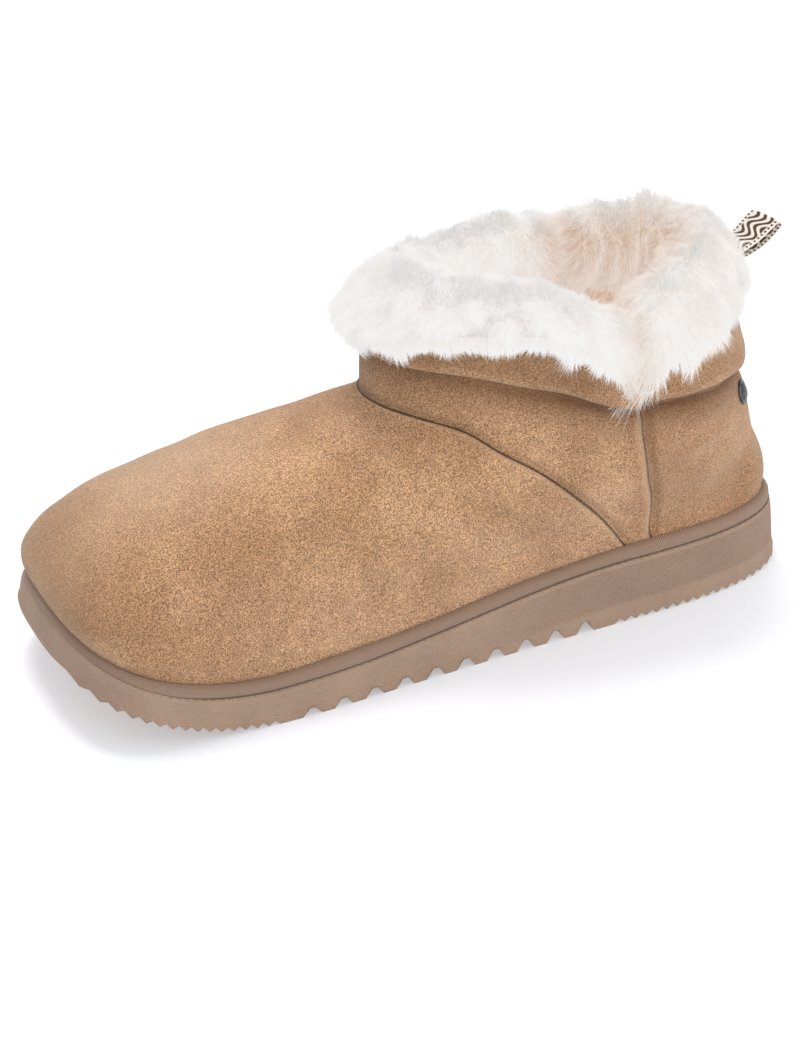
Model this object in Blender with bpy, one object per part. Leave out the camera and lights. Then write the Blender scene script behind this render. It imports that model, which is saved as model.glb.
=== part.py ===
"""Bootie slipper, left shoe: suede upper, turned-down plush cuff, taped rand and lugged rubber sole.

Metres, +Z up. The toe points to -X, the outer (lateral) side of the foot to -Y.
"along" is a share of the sole's length from the heel, and "turn" runs once round the shoe:
0 at the heel, over the lateral side to 0.5 at the toe, and back over the medial side to 1.
"""
import math
import random

import bmesh
import bpy
from mathutils import Vector

# Sole, from the floor up
SOLE_LENGTH = 0.285
BALL_WIDTH = 0.106
TOE_SWING = 0.006          # the toe's tip lies this far to the medial side
HEEL_ROUND = 0.075         # length of the rounded heel end
TOE_ROUND = 0.060          # length of the rounded toe end
HEEL_STACK = 0.0230        # height of the sole's side at the heel
BALL_STACK = 0.0126
TOE_STACK = 0.0104
TOE_SPRING = 0.0230        # lift of the sole's underside at the toe's tip
ARCH_RISE = 0.0022         # lift of the underside in the waist, on the medial side
SIDE_FLARE = 0.0024        # the side leans in by this much from the tread to the top
TOOTH_PITCH = 0.0044
TOOTH_DEPTH = 0.0018
LUG_PITCH = 0.0123
LUG_DEPTH_FRONT = 0.0028
LUG_DEPTH_BACK = 0.0046
NOTCH_MOUTH, NOTCH_FLOOR = 0.25, 0.10    # half widths of a notch, as shares of the lugs' pitch
LUGS_FROM, LUGS_TO = 0.280, 0.754    # the lugs' stretch, as shares of the length
SPRING_FROM = 0.742        # where the toe spring starts, as a share of the length
HEEL_PAD = (0.09, 0.22)    # plain flat spots under heel and ball, as shares of the length
BALL_PAD = (0.60, 0.735)
PAD_WIDTH = 0.034
HEEL_POWER = 2.36          # 2 is an ellipse, more is squarer
TOE_POWER = 2.9

# Binding tape round the foot of the upper
RAND_WIDTH = 0.0034
RAND_HEIGHT = 0.0046

# Upper
WALL = 0.0017              # suede with its backing, at the heel
MEDIAL_FALL = 0.0060       # the vamp's medial shoulder lies this much lower than the lateral one
INSTEP_HEIGHT = 0.094      # top of the vamp above the floor, where the shaft rises from it
COLLAR_LENGTH = 0.147
COLLAR_WIDTH = 0.073
COLLAR_FRONT = 0.050       # length of the shaft's rounded front
COLLAR_HEIGHT = 0.132      # suede rim above the floor, in front
COLLAR_BACK = 0.0140       # shaft's back in front of the heel's rearmost point
VAMP_STEP = 0.0006         # each overlay stands this far above the panel behind it
QUARTER_SINK, VAMP_SINK = 0.30, 0.18    # how deep its edges sink in, as shares of the wall
INSOLE_THICK = 0.004

# Plush cuff
PLUSH_OUT = 0.0105         # thickness outside the wall
PLUSH_UP = 0.0155          # crest above the suede rim
PLUSH_IN = 0.0125          # thickness inside the wall
LOCK_LENGTH = 0.010
LOCK_WIDTH = 0.0075
LOCK_SHORTEST = 0.75       # the shortest lock, as a share of the longest
LOCK_ROOT = 0.15           # how deep a lock starts, as a share of the way to the cuff's middle
LOCK_SPREAD = 0.45         # how far a lock stands out for each metre that it hangs down
NOTCH_CLEAR = 0.04         # stations left free where two cuffs meet

# Pull loop and heel stud
TAPE_WIDTH = 0.0120
TAPE_THICK = 0.0011
LOOP_REACH = 0.0275
CHANNEL_START, CHANNEL_END = 0.003, 0.010    # the slot for the tape goes past it by this much
STUD_DIAMETER = 0.0094
STUD_DOME = 0.0020
STUD_TURN = 0.072          # its place round the heel, towards the lateral side
STUD_SIDES = 20

GAP = 0.0003               # pieces that touch keep this much between them
CUFF_GAP = 0.0004          # and a little more between cuff and upper, which are both curved
STATIONS = 60              # points round every ring
HEEL_X = SOLE_LENGTH / 2


def table(names, *rows):
    """Rows as dictionaries, keyed by the column names."""
    return [dict(zip(names.split(), row)) for row in rows]


# Half widths of the sole, as shares of half the ball width
OUTLINE = table(
    "along lateral medial",
    (0.00, 0.65, 0.66),
    (0.15, 0.66, 0.66),
    (0.35, 0.75, 0.70),
    (0.55, 0.89, 0.82),
    (0.72, 1.02, 0.96),
    (0.86, 1.08, 0.98),
    (1.00, 1.24, 0.98),
)

# The sole's side: height as a share of the stack, lean as a share of the flare
SOLE_SIDE = table(
    "up lean",
    (-0.30, 0.00),
    (0.20, 0.05),
    (0.23, 0.22),
    (0.93, 0.80),
    (1.00, 1.12),
)

# The rand's round section, as shares of its width and height
RAND_SECTION = table(
    "out up",
    (0.00, 0.00),
    (0.86, 0.00),
    (1.00, 0.30),
    (0.92, 0.68),
    (0.62, 0.94),
    (0.22, 1.00),
    (0.00, 0.90),
)

# Ribs of the upper from the rand to the ankle bend, by place along the foot:
# belly and crown shape each rib's curve, as shares of the ball width, its rise and its run
RIBS = table(
    "along belly wall crown drop",
    (0.00, 0.060, 0.30, 0.35, 0.45),
    (0.12, 0.035, 0.35, 0.30, 0.45),
    (0.30, 0.030, 0.42, 0.20, 0.40),
    (0.50, 0.050, 0.42, 0.20, 0.38),
    (0.70, 0.080, 0.40, 0.30, 0.36),
    (0.85, 0.112, 0.41, 0.44, 0.285),
    (0.95, 0.157, 0.43, 0.57, 0.210),
    (1.00, 0.195, 0.43, 0.61, 0.150),
)

# Half widths of the shaft from its back (0) to its front (1), as shares of half its width,
# the heights of its folds, as shares of the collar height, and how much higher rim and bend are
# on the medial side
SHAFT = table(
    "along half bend crease tuck rim medial_rim medial_bend",
    (0.00, 0.92, 0.500, 0.630, 0.800, 0.930, 0.000, 0.000),
    (0.20, 0.97, 0.515, 0.650, 0.790, 0.910, 0.030, 0.000),
    (0.41, 1.00, 0.545, 0.665, 0.755, 0.860, 0.075, 0.000),
    (0.62, 0.95, 0.595, 0.745, 0.870, 0.950, 0.010, -0.022),
    (0.82, 0.88, 0.642, 0.805, 0.915, 0.980, -0.040, -0.034),
    (1.00, 0.85, 0.680, 0.842, 0.890, 0.990, 0.000, 0.000),
)

# Folds of the shaft's wall from the ankle bend up to the suede rim:
# span between two of the heights above, how far back and front draw in, and the width
FOLDS = table(
    "low high share back front width",
    ("bend", "crease", 0.00, 0.000, 0.000, 1.000),
    ("bend", "crease", 0.50, 0.020, 0.002, 1.000),
    ("bend", "crease", 1.00, 0.037, 0.006, 0.965),
    ("crease", "tuck", 0.35, 0.026, 0.000, 1.050),
    ("crease", "tuck", 1.00, 0.050, 0.004, 1.040),
    ("tuck", "rim", 0.50, 0.075, 0.030, 0.960),
    ("tuck", "rim", 1.00, 0.095, 0.070, 0.860),
)

# Seams between the panels, seen from the side
VAMP_SEAM = table(
    "along up",
    (0.249, 0.25),
    (0.293, 0.44),
    (0.342, 0.60),
    (0.391, 0.73),
    (0.435, 0.82),
    (0.479, 0.91),
    (0.527, 0.955),
    (0.567, 0.975),
)
SIDE_SEAM = table(
    "along up",
    (0.222, 0.20),
    (0.224, 0.45),
    (0.237, 0.60),
    (0.247, 0.75),
    (0.256, 0.95),
    (0.262, 1.70),
)

# Plush cuff from its back (0) to its front (1): shares of PLUSH_OUT, PLUSH_UP and PLUSH_IN,
# how far the crest leans in over the rim, as a share of PLUSH_IN, and the part of the outer
# thickness that is left at the hem
CUFF = table(
    "along out up inner lean hem",
    (0.00, 0.92, 1.35, 1.10, 1.05, 0.30),
    (0.20, 0.90, 1.15, 1.05, 0.70, 0.55),
    (0.41, 0.90, 0.85, 0.90, 0.30, 0.90),
    (0.62, 1.00, 0.95, 0.95, 0.30, 0.90),
    (0.82, 1.15, 0.85, 0.95, 0.30, 0.92),
    (1.00, 1.30, 0.90, 1.10, 0.30, 0.92),
)
NOTCH_STATION = 13         # where the front and the back of the cuff meet, on either side

# The cuff's rounded section, from the hem over the crest to the hem inside. Each point starts
# between the rim (0) and the tuck (1). out, hem and lean are shares of the cuff's own sizes,
# outwards and inwards; inner is the depth inside the wall; up and lift go upwards
CUFF_SECTION = table(
    "hang out hem lean inner up lift",
    (1.0, 0.00, 0.60, 0.00, 0.00, 0.00, -0.19),
    (1.0, 0.00, 1.00, 0.00, 0.00, 0.00, 0.19),
    (0.5, 0.60, 0.50, 0.00, 0.00, 0.00, 0.00),
    (0.0, 0.80, 0.00, 0.15, 0.00, 0.30, 0.00),
    (0.0, 0.35, 0.00, 0.55, 0.00, 0.82, 0.00),
    (0.0, 0.00, 0.00, 1.00, 0.00, 1.00, 0.00),
    (0.0, 0.00, 0.00, 0.60, 0.75, 0.55, 0.00),
    (0.0, 0.00, 0.00, 0.00, 1.00, 0.00, -0.26),
    (1.0, 0.00, 0.00, 0.00, 0.85, 0.00, 0.00),
    (1.0, 0.00, 0.00, 0.00, 0.30, 0.00, -0.39),
)

# One lock of plush: places along it and its width there
LOCK_SHAPE = table("along width", (-0.50, 0.80), (0.35, 0.80), (1.00, 0.15))

# The folded tape seen from the side: out from the rim through the plush, round the fold and back
LOOP_PATH = table(
    "out up",
    (-0.02, 0.00),
    (0.24, 0.02),
    (0.60, 0.20),
    (0.90, 0.44),
    (0.98, 0.46),
    (1.00, 0.38),
    (0.68, 0.10),
    (0.28, -0.06),
    (0.02, 0.00),
)

# The stud's half section, as shares of its radius and its dome
STUD_SECTION = table(
    "radius up",
    (0.92, 0.00),
    (1.00, 0.25),
    (0.98, 0.45),
    (0.80, 0.50),
    (0.74, 0.62),
    (0.45, 0.92),
)

RUBBER_COLOUR = (0.34, 0.24, 0.18)
SUEDE_COLOUR = (0.42, 0.26, 0.13)
LINING_COLOUR = (0.80, 0.66, 0.54)
PLUSH_COLOUR = (0.86, 0.82, 0.78)
TAPE_COLOUR = (0.60, 0.50, 0.42)
METAL_COLOUR = (0.12, 0.13, 0.14)
CUTTER_COLOUR = (0.5, 0.5, 0.5)


def read(rows, column, at):
    """Smooth value of a column between rows, without overshoot; the first column is the key."""
    key = next(iter(rows[0]))
    last = len(rows) - 1
    if at <= rows[0][key]:
        return rows[0][column]
    if at >= rows[last][key]:
        return rows[last][column]
    slopes = [(b[column] - a[column]) / (b[key] - a[key]) for a, b in zip(rows, rows[1:])]

    def tangent(row):
        if row in (0, last):
            return slopes[min(row, last - 1)]
        before, after = slopes[row - 1], slopes[row]
        return 2 * before * after / (before + after) if before * after > 0 else 0.0

    index = next(i for i in range(last) if at <= rows[i + 1][key])
    start, end = rows[index], rows[index + 1]
    width = end[key] - start[key]
    t = (at - start[key]) / width
    rise = t * t * (3 - 2 * t)
    return (start[column] + (end[column] - start[column]) * rise
            + width * t * (1 - t) * ((1 - t) * tangent(index) - t * tangent(index + 1)))


def share_of_turn(turn):
    """Place along the length for a place round the shoe, closest together at both ends."""
    return (1 - math.cos(2 * math.pi * turn)) / 2


def end_round(distance, length, power):
    """0 at the tip of a rounded end, 1 where the sides begin."""
    left = max(0.0, 1 - distance / length)
    return (1 - left ** power) ** (1 / power)


def side_name(turn):
    return "lateral" if turn % 1 < 0.5 else "medial"


def side_sign(turn):
    return -1 if turn % 1 < 0.5 else 1


def along_at(x):
    return (HEEL_X - x) / SOLE_LENGTH


def sole_edge(turn, inset):
    """Plan point on the sole's outline, drawn in by an inset."""
    share = share_of_turn(turn)
    length = SOLE_LENGTH - 2 * inset
    heel = end_round(share * length, HEEL_ROUND - inset, HEEL_POWER)
    toe = end_round((1 - share) * length, TOE_ROUND - inset, TOE_POWER)
    half = read(OUTLINE, side_name(turn), share) * BALL_WIDTH / 2 - inset
    centre = TOE_SWING * share
    return HEEL_X - inset - share * length, centre + side_sign(turn) * half * heel * toe


# Height of the sole's side, and lift of its waist on the medial side
STACK = table("along stack", (0.0, HEEL_STACK), (0.25, HEEL_STACK), (0.65, BALL_STACK), (1.0, TOE_STACK))
WAIST = table("along lift", (0.28, 0), (0.42, 1), (0.58, 0))


def underside(along):
    """Height of the tread's tips: flat from the heel to the ball, then the toe spring."""
    rest = max(0.0, (along - SPRING_FROM) / (1 - SPRING_FROM))
    return TOE_SPRING * rest ** 2


def sole_top(along):
    return underside(along) + read(STACK, "stack", along)


def mesh_object(name, verts, faces, colour, roughness, metallic=0.0):
    """One closed piece with its own material, its faces turned outwards."""
    mesh = bpy.data.meshes.new(name)
    mesh.from_pydata([tuple(v) for v in verts], [], faces)
    work = bmesh.new()
    work.from_mesh(mesh)
    bmesh.ops.recalc_face_normals(work, faces=work.faces)
    work.to_mesh(mesh)
    work.free()
    mesh.shade_smooth()
    mesh.set_sharp_from_angle(angle=math.radians(40))
    piece = bpy.data.objects.new(name, mesh)
    bpy.context.scene.collection.objects.link(piece)
    material = bpy.data.materials.new(name)
    material.use_nodes = True
    shader = material.node_tree.nodes["Principled BSDF"]
    shader.inputs["Base Color"].default_value = (*colour, 1)
    shader.inputs["Roughness"].default_value = roughness
    shader.inputs["Metallic"].default_value = metallic
    mesh.materials.append(material)
    return piece


def stack_of_rings(rings):
    """A filled form: rings joined one above the other, with a ladder of faces across each end."""
    count = len(rings[0])
    verts = [point for ring in rings for point in ring]
    faces = []
    for level in range(len(rings) - 1):
        low, high = level * count, (level + 1) * count
        for i in range(count):
            j = (i + 1) % count
            faces.append((low + i, low + j, high + j, high + i))
    for base in (0, (len(rings) - 1) * count):
        for i in range(count // 2):
            a, b = i, i + 1
            corners = dict.fromkeys((base + a, base + b, base + (count - b) % count, base + (count - a) % count))
            faces.append(tuple(corners))
    return verts, faces


def closed_sweep(sections, closed, cap=None):
    """A tube of equal sections, joined end to end when closed, or capped with one or more faces."""
    size = len(sections[0])
    verts = [point for section in sections for point in section]
    faces = []
    last = len(sections) if closed else len(sections) - 1
    for i in range(last):
        here, there = i * size, ((i + 1) % len(sections)) * size
        for k in range(size):
            n = (k + 1) % size
            faces.append((here + k, here + n, there + n, there + k))
    if not closed:
        for base in (0, (len(sections) - 1) * size):
            faces += [tuple(base + k for k in face) for face in cap or [range(size)]]
    return verts, faces


def tool(name, verts, faces):
    """A cutter or a form to be joined: left out of the model, seen as wire."""
    piece = mesh_object(name, verts, faces, CUTTER_COLOUR, 0.5)
    piece.hide_render = True
    piece.display_type = "WIRE"
    return piece


def combine(piece, other, operation):
    change = piece.modifiers.new(operation.lower(), "BOOLEAN")
    change.operation = operation
    change.object = other
    return change


def turns():
    return [i / STATIONS for i in range(STATIONS)]


def make_outsole():
    rings = []
    for row in SOLE_SIDE:
        ring = []
        for turn in turns():
            x, y = sole_edge(turn, max(0.0, row["lean"]) * SIDE_FLARE)
            low, high = underside(along_at(x)), sole_top(along_at(x))
            ring.append((x, y, low + row["up"] * (high - low)))
        rings.append(ring)
    outsole = mesh_object("outsole", *stack_of_rings(rings), RUBBER_COLOUR, 0.8)
    combine(outsole, tool("tread_cutter", *tread_surface()), "DIFFERENCE")
    return outsole


def tread_steps():
    """Places along the sole and the depth of the tread there: fine teeth, lugs, fine teeth."""
    lugs_from, lugs_to = LUGS_FROM * SOLE_LENGTH, LUGS_TO * SOLE_LENGTH
    steps = []

    def teeth(start, end):
        count = max(1, round((end - start) / TOOTH_PITCH))
        pitch = (end - start) / count
        for i in range(count):
            steps.append((start + i * pitch, 0.0))
            steps.append((start + (i + 0.5) * pitch, TOOTH_DEPTH))
        steps.append((end, 0.0))

    teeth(0.0, lugs_from)
    count = max(1, round((lugs_to - lugs_from) / LUG_PITCH))
    pitch = (lugs_to - lugs_from) / count
    for i in range(1, count):
        middle = lugs_from + i * pitch
        depth = LUG_DEPTH_BACK + (LUG_DEPTH_FRONT - LUG_DEPTH_BACK) * i / count
        for half, cut in ((-NOTCH_MOUTH, 0.0), (-NOTCH_FLOOR, depth), (NOTCH_FLOOR, depth), (NOTCH_MOUTH, 0.0)):
            steps.append((middle + half * pitch, cut))
    teeth(lugs_to, SOLE_LENGTH)
    return steps


def tread_surface():
    """The slab that cuts the tread: its top is the underside of the sole, plain on two flat pads."""
    reach, beyond, deep = BALL_WIDTH, HEEL_STACK, HEEL_STACK / 2
    pad = PAD_WIDTH / 2
    pad_foot = pad + TOOTH_DEPTH
    across = (-reach, -pad_foot, -pad, pad, pad_foot, reach)
    steps = [(-beyond, 0.0)] + tread_steps() + [(SOLE_LENGTH + beyond, 0.0)]
    sections = []
    for place, depth in steps:
        along = min(1.0, max(0.0, place / SOLE_LENGTH))
        on_pad = any(start < along < end for start, end in (HEEL_PAD, BALL_PAD))
        waist = read(WAIST, "lift", along)
        top = []
        for y in across:
            plain = on_pad and abs(y) <= pad
            lift = ARCH_RISE * waist * max(0.0, min(1.0, y * 2 / HEEL_ROUND))
            top.append((HEEL_X - place, y, underside(along) + lift + (0.0 if plain else depth)))
        sections.append(top + [(HEEL_X - place, y, -deep) for y in (reach, -reach)])
    return closed_sweep(sections, closed=False)


def rand_outer():
    """Inset of the rand's outer face from the sole's outline."""
    return SIDE_FLARE + 0.0004


def upper_inset():
    """Inset of the upper's foot, just inside the rand."""
    return rand_outer() + RAND_WIDTH + GAP


def make_rand():
    sections = []
    for turn in turns():
        section = []
        for row in RAND_SECTION:
            inset = rand_outer() + (1 - row["out"]) * RAND_WIDTH
            x, y = sole_edge(turn, inset)
            section.append((x, y, sole_top(along_at(x)) + GAP + row["up"] * RAND_HEIGHT))
        sections.append(section)
    return mesh_object("rand", *closed_sweep(sections, closed=True), RUBBER_COLOUR, 0.9)


def shaft_height(turn, name):
    """Height of one fold of the shaft; the medial side's collar dips less at its notch."""
    share = share_of_turn(turn)
    height = read(SHAFT, name, share)
    if side_name(turn) == "medial" and name in ("tuck", "rim"):
        height += read(SHAFT, "medial_rim", share)
    if side_name(turn) == "medial" and name == "bend":
        height += read(SHAFT, "medial_bend", share)
    return height * COLLAR_HEIGHT


def shaft_point(turn, fold):
    """Point of the shaft's outer face on one of its folds."""
    share = share_of_turn(turn)
    back = HEEL_X - COLLAR_BACK - fold["back"] * COLLAR_LENGTH
    front = HEEL_X - COLLAR_BACK - (1 - fold["front"]) * COLLAR_LENGTH
    length = back - front
    ends = end_round(share * length, COLLAR_WIDTH / 2, 2.0) * end_round((1 - share) * length, COLLAR_FRONT, 2.0)
    half = read(SHAFT, "half", share) * COLLAR_WIDTH / 2 * fold["width"]
    x = back - share * length
    centre = TOE_SWING * along_at(x)
    low, high = shaft_height(turn, fold["low"]), shaft_height(turn, fold["high"])
    return Vector((x, centre + side_sign(turn) * half * ends, low + (high - low) * fold["share"]))


def rib_points(turn):
    """Points of one rib of the upper, from just above the rand to the ankle bend."""
    share = share_of_turn(turn)
    x, y = sole_edge(turn, upper_inset())
    foot = Vector((x, y, sole_top(along_at(x)) + RAND_HEIGHT))
    bend = shaft_point(turn, FOLDS[0])
    run = Vector((bend.x - foot.x, bend.y - foot.y, 0))
    rise = Vector((0, 0, bend.z - foot.z))
    out = -run.normalized() * read(RIBS, "belly", share) * BALL_WIDTH
    wall = foot + out + rise * read(RIBS, "wall", share)
    crown = foot + run * (1 - read(RIBS, "crown", share)) + rise * (1 - read(RIBS, "drop", share))
    points = []
    for t in RIB_STEPS:
        a, b, c, d = (1 - t) ** 3, 3 * t * (1 - t) ** 2, 3 * t * t * (1 - t), t ** 3
        fall = MEDIAL_FALL * math.sin(math.pi * t) * math.sqrt(math.sin(math.pi * share))
        drop = Vector((0, 0, fall if side_name(turn) == "medial" else 0.0))
        points.append(foot * a + wall * b + crown * c + bend * d - drop)
    return points


RIB_STEPS = (0.0, 0.07, 0.25, 0.45, 0.65, 0.84, 1.0)
UPPER_LEVELS = len(RIB_STEPS) + len(FOLDS)


def upper_columns():
    """Points of the upper's outer face from its foot to its rim, one column for each turn."""
    columns = []
    for turn in turns():
        x, y = sole_edge(turn, upper_inset())
        foot = Vector((x, y, sole_top(along_at(x)) + GAP))
        shaft = [shaft_point(turn, fold) for fold in FOLDS[1:]]
        columns.append([foot] + rib_points(turn) + shaft)
    return columns


def face_normals(columns):
    """Outward direction at each point of the upper's outer face."""
    normals = []
    count = len(columns)
    for i, column in enumerate(columns):
        before, after = columns[i - 1], columns[(i + 1) % count]
        row = []
        for k in range(len(column)):
            round_the_shoe = after[k] - before[k]
            upwards = column[min(k + 1, len(column) - 1)] - column[max(k - 1, 0)]
            row.append(upwards.cross(round_the_shoe).normalized())
        normals.append(row)
    return normals


def moved_ring(level, out):
    """One ring of the upper's outer face, moved out or in; below the rand's top it moves level."""
    columns = upper_columns()
    normals = face_normals(columns)
    ring = []
    for column, normal in zip(columns, normals):
        direction = normal[level]
        if level < 2:
            direction = Vector((direction.x, direction.y, 0)).normalized()
        ring.append(column[level] + direction * out)
    return ring


def base_form():
    """The upper's outer face as a filled form."""
    return stack_of_rings([moved_ring(level, 0.0) for level in range(UPPER_LEVELS)])


def foot_form():
    """The hollow of the upper: its outer face moved in by the wall, drawn out at foot and rim."""
    rings = [moved_ring(level, -WALL) for level in range(UPPER_LEVELS)]
    rings.insert(0, [point - Vector((0, 0, WALL * 3)) for point in rings[0]])
    rings.append([point + Vector((0, 0, WALL * 3)) for point in rings[-1]])
    return stack_of_rings(rings)


def panel_form(step, sink):
    """The outer face raised by a step, which sinks into the wall above the rand and under the cuff."""
    moves = [-sink] + [step] * (UPPER_LEVELS - 5) + [-sink]
    return stack_of_rings([moved_ring(level + 1, move) for level, move in enumerate(moves)])


def side_prism(name, seam, front_points):
    """A block across the whole shoe, bounded behind by a seam drawn in side view."""
    corners = [(HEEL_X - row["along"] * SOLE_LENGTH, row["up"] * INSTEP_HEIGHT) for row in seam]
    corners += front_points
    sections = [[Vector((x, y, z)) for x, z in corners] for y in (-BALL_WIDTH, BALL_WIDTH)]
    return tool(name, *closed_sweep(sections, closed=False))


def make_upper():
    """One hollow wall: three overlapping panels joined into one skin, emptied by the inner form."""
    toe, under = -SOLE_LENGTH, -WALL
    shaft_front = HEEL_X - COLLAR_BACK - COLLAR_LENGTH
    high = COLLAR_HEIGHT * 1.5
    upper = mesh_object("upper", *base_form(), SUEDE_COLOUR, 0.95)
    quarter = tool("quarter_form", *panel_form(VAMP_STEP, QUARTER_SINK * WALL))
    quarter_side = [(toe, high), (toe, under), (HEEL_X - SIDE_SEAM[0]["along"] * SOLE_LENGTH, under)]
    combine(quarter, side_prism("quarter_block", SIDE_SEAM, quarter_side), "INTERSECT")
    vamp = tool("vamp_form", *panel_form(2 * VAMP_STEP, VAMP_SINK * WALL))
    vamp_side = [(shaft_front - 4 * VAMP_STEP, INSTEP_HEIGHT), (toe, high), (toe, under),
                 (HEEL_X - VAMP_SEAM[0]["along"] * SOLE_LENGTH, under)]
    combine(vamp, side_prism("vamp_block", VAMP_SEAM, vamp_side), "INTERSECT")
    hollow = tool("foot_form", *foot_form())
    combine(upper, quarter, "UNION")
    combine(upper, vamp, "UNION")
    combine(upper, hollow, "DIFFERENCE")
    return upper


def make_insole():
    inset = upper_inset() + WALL + GAP
    rings = []
    for up in (GAP, GAP + INSOLE_THICK):
        ring = []
        for turn in turns():
            x, y = sole_edge(turn, inset)
            ring.append((x, y, sole_top(along_at(x)) + up))
        rings.append(ring)
    return mesh_object("insole", *stack_of_rings(rings), LINING_COLOUR, 1.0)


def between(items, place):
    """Value at a broken index of a closed list, on the straight line between its neighbours."""
    low = math.floor(place)
    part = place - low
    here = items[low % len(items)]
    there = items[(low + 1) % len(items)]
    return here * (1 - part) + there * part


def cuff_section(place, columns, normals):
    """Closed section of the plush cuff at one station: it hangs over the suede rim on both sides."""
    turn = place / STATIONS
    share = share_of_turn(turn)
    size = {name: read(CUFF, name, share) for name in ("out", "up", "inner", "lean", "hem")}

    def wall(level, out):
        return between([column[level] + normal[level] * out for column, normal in zip(columns, normals)], place)

    rim = wall(-1, 0)
    normal = between([normal[-2] for normal in normals], place)
    outward = Vector((normal.x, normal.y, 0)).normalized()
    upward = Vector((0, 0, 1))
    out, up, inner = size["out"] * PLUSH_OUT, size["up"] * PLUSH_UP, size["inner"] * PLUSH_IN
    lean, hem = size["lean"] * PLUSH_IN, size["hem"] * out
    tuck = wall(-3, 0)
    section = [wall(-3, CUFF_GAP)]
    for row in CUFF_SECTION:
        wide = row["out"] * out + row["hem"] * hem - row["lean"] * lean
        if row["inner"]:
            wide -= WALL + row["inner"] * inner
        high = row["up"] * up + row["lift"] * PLUSH_UP
        section.append(rim + (tuck - rim) * row["hang"] + outward * wide + upward * high)
    section += [wall(level, -WALL - CUFF_GAP) for level in (-3, -2, -1)]
    section.append(rim - outward * (WALL + CUFF_GAP) + upward * 2 * CUFF_GAP)
    section.append(rim + outward * CUFF_GAP + upward * 2 * CUFF_GAP)
    section.append(wall(-2, CUFF_GAP))
    return section


# Faces that close a cuff's end, between the outer and the inner line of its section
CUFF_CAP = (
    (0, 1, 2), (0, 2, 3, 16), (16, 3, 4, 15), (15, 4, 5), (15, 5, 6, 14),
    (14, 6, 7), (14, 7, 13), (13, 7, 8, 12), (12, 8, 9, 11), (11, 9, 10),
)


def cuff_places(start, end):
    """Stations from one notch to the other, kept a little clear of the neighbouring cuff."""
    inner = list(range(start + 1, end))
    return [start + NOTCH_CLEAR] + inner + [end - NOTCH_CLEAR]


def lock(root, direction, width, length):
    """One tapered lock of plush: a four-sided spike, blunt at its tip."""
    side = direction.orthogonal().normalized()
    other = direction.cross(side)
    rings = []
    for row in LOCK_SHAPE:
        centre = root + direction * length * row["along"]
        corners = ((side, 1), (other, 1), (side, -1), (other, -1))
        rings.append([centre + axis * sign * width / 2 * row["width"] for axis, sign in corners])
    return closed_sweep(rings, closed=False)


def make_cuff(name, start, end, columns, normals):
    places = cuff_places(start, end)
    sections = [cuff_section(place, columns, normals) for place in places]
    cuff = mesh_object(name, *closed_sweep(sections, closed=False, cap=CUFF_CAP), PLUSH_COLOUR, 1.0)
    dice = random.Random(len(name))
    low_lock, high_lock = 1, 4
    for i in range(2, len(sections) - 2, 2):
        thin_hem = read(CUFF, "hem", share_of_turn(places[i] / STATIONS)) < 0.8
        corner = high_lock if thin_hem or i % 4 == 0 else low_lock
        section = sections[i]
        middle = sum(section, Vector()) / len(section)
        root = section[corner].lerp(middle, LOCK_ROOT)
        out = Vector((root.x - middle.x, root.y - middle.y, 0)).normalized()
        direction = (out * LOCK_SPREAD - Vector((0, 0, 1))).normalized()
        length = LOCK_LENGTH * dice.uniform(LOCK_SHORTEST, 1.0)
        verts, faces = lock(root, direction, LOCK_WIDTH, length)
        combine(cuff, tool(f"{name}_lock_{i}", verts, faces), "UNION")
    return cuff


def loop_path(rim):
    """Middle of the folded tape, seen from the side."""
    return [rim + Vector((row["out"] * LOOP_REACH, 0, row["up"] * LOOP_REACH)) for row in LOOP_PATH]


def tape_solid(path, width, thick):
    """A flat tape along a path in side view, as one closed solid."""
    sections = []
    for i, point in enumerate(path):
        ahead = path[min(i + 1, len(path) - 1)] - path[max(i - 1, 0)]
        normal = Vector((-ahead.z, 0, ahead.x)).normalized() * thick / 2
        side = Vector((0, width / 2, 0))
        sections.append([point - normal - side, point + normal - side, point + normal + side, point - normal + side])
    return closed_sweep(sections, closed=False)


def make_pull_loop(columns, cuff_back):
    rim = columns[0][-1] + Vector((-WALL / 2, 0, GAP + TAPE_THICK / 2))
    path = loop_path(rim)
    loop = mesh_object("pull_loop", *tape_solid(path, TAPE_WIDTH, TAPE_THICK), TAPE_COLOUR, 0.9)
    pairs = list(zip(path[:4], reversed(path[5:])))
    middle = [(above + below) / 2 for above, below in pairs]
    spread = max((above - below).length for above, below in pairs)
    middle.insert(0, middle[0] - Vector((0, 0, CHANNEL_START)))
    middle.append(middle[-1] + Vector((CHANNEL_END, 0, 0)))
    slot = tape_solid(middle, TAPE_WIDTH + 2 * GAP, spread + TAPE_THICK + 2 * GAP)
    combine(cuff_back, tool("loop_channel", *slot), "DIFFERENCE")
    return loop


def make_heel_stud(columns, normals):
    """A plain domed stud on the lateral side of the heel, pressed into the suede."""
    place = STATIONS * STUD_TURN
    level = 1 + len(RIB_STEPS)
    normal = between([normal[level] for normal in normals], place).normalized()
    centre = between([column[level] for column in columns], place) + normal * 2 * GAP
    side = normal.orthogonal().normalized()
    other = normal.cross(side)
    sections = []
    for row in STUD_SECTION:
        ring = []
        for k in range(STUD_SIDES):
            angle = 2 * math.pi * k / STUD_SIDES
            radius = STUD_DIAMETER / 2 * row["radius"]
            spoke = side * math.cos(angle) + other * math.sin(angle)
            ring.append(centre + spoke * radius + normal * row["up"] * STUD_DOME)
        sections.append(ring)
    return mesh_object("heel_stud", *closed_sweep(sections, closed=False), METAL_COLOUR, 0.35, 1.0)


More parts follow.
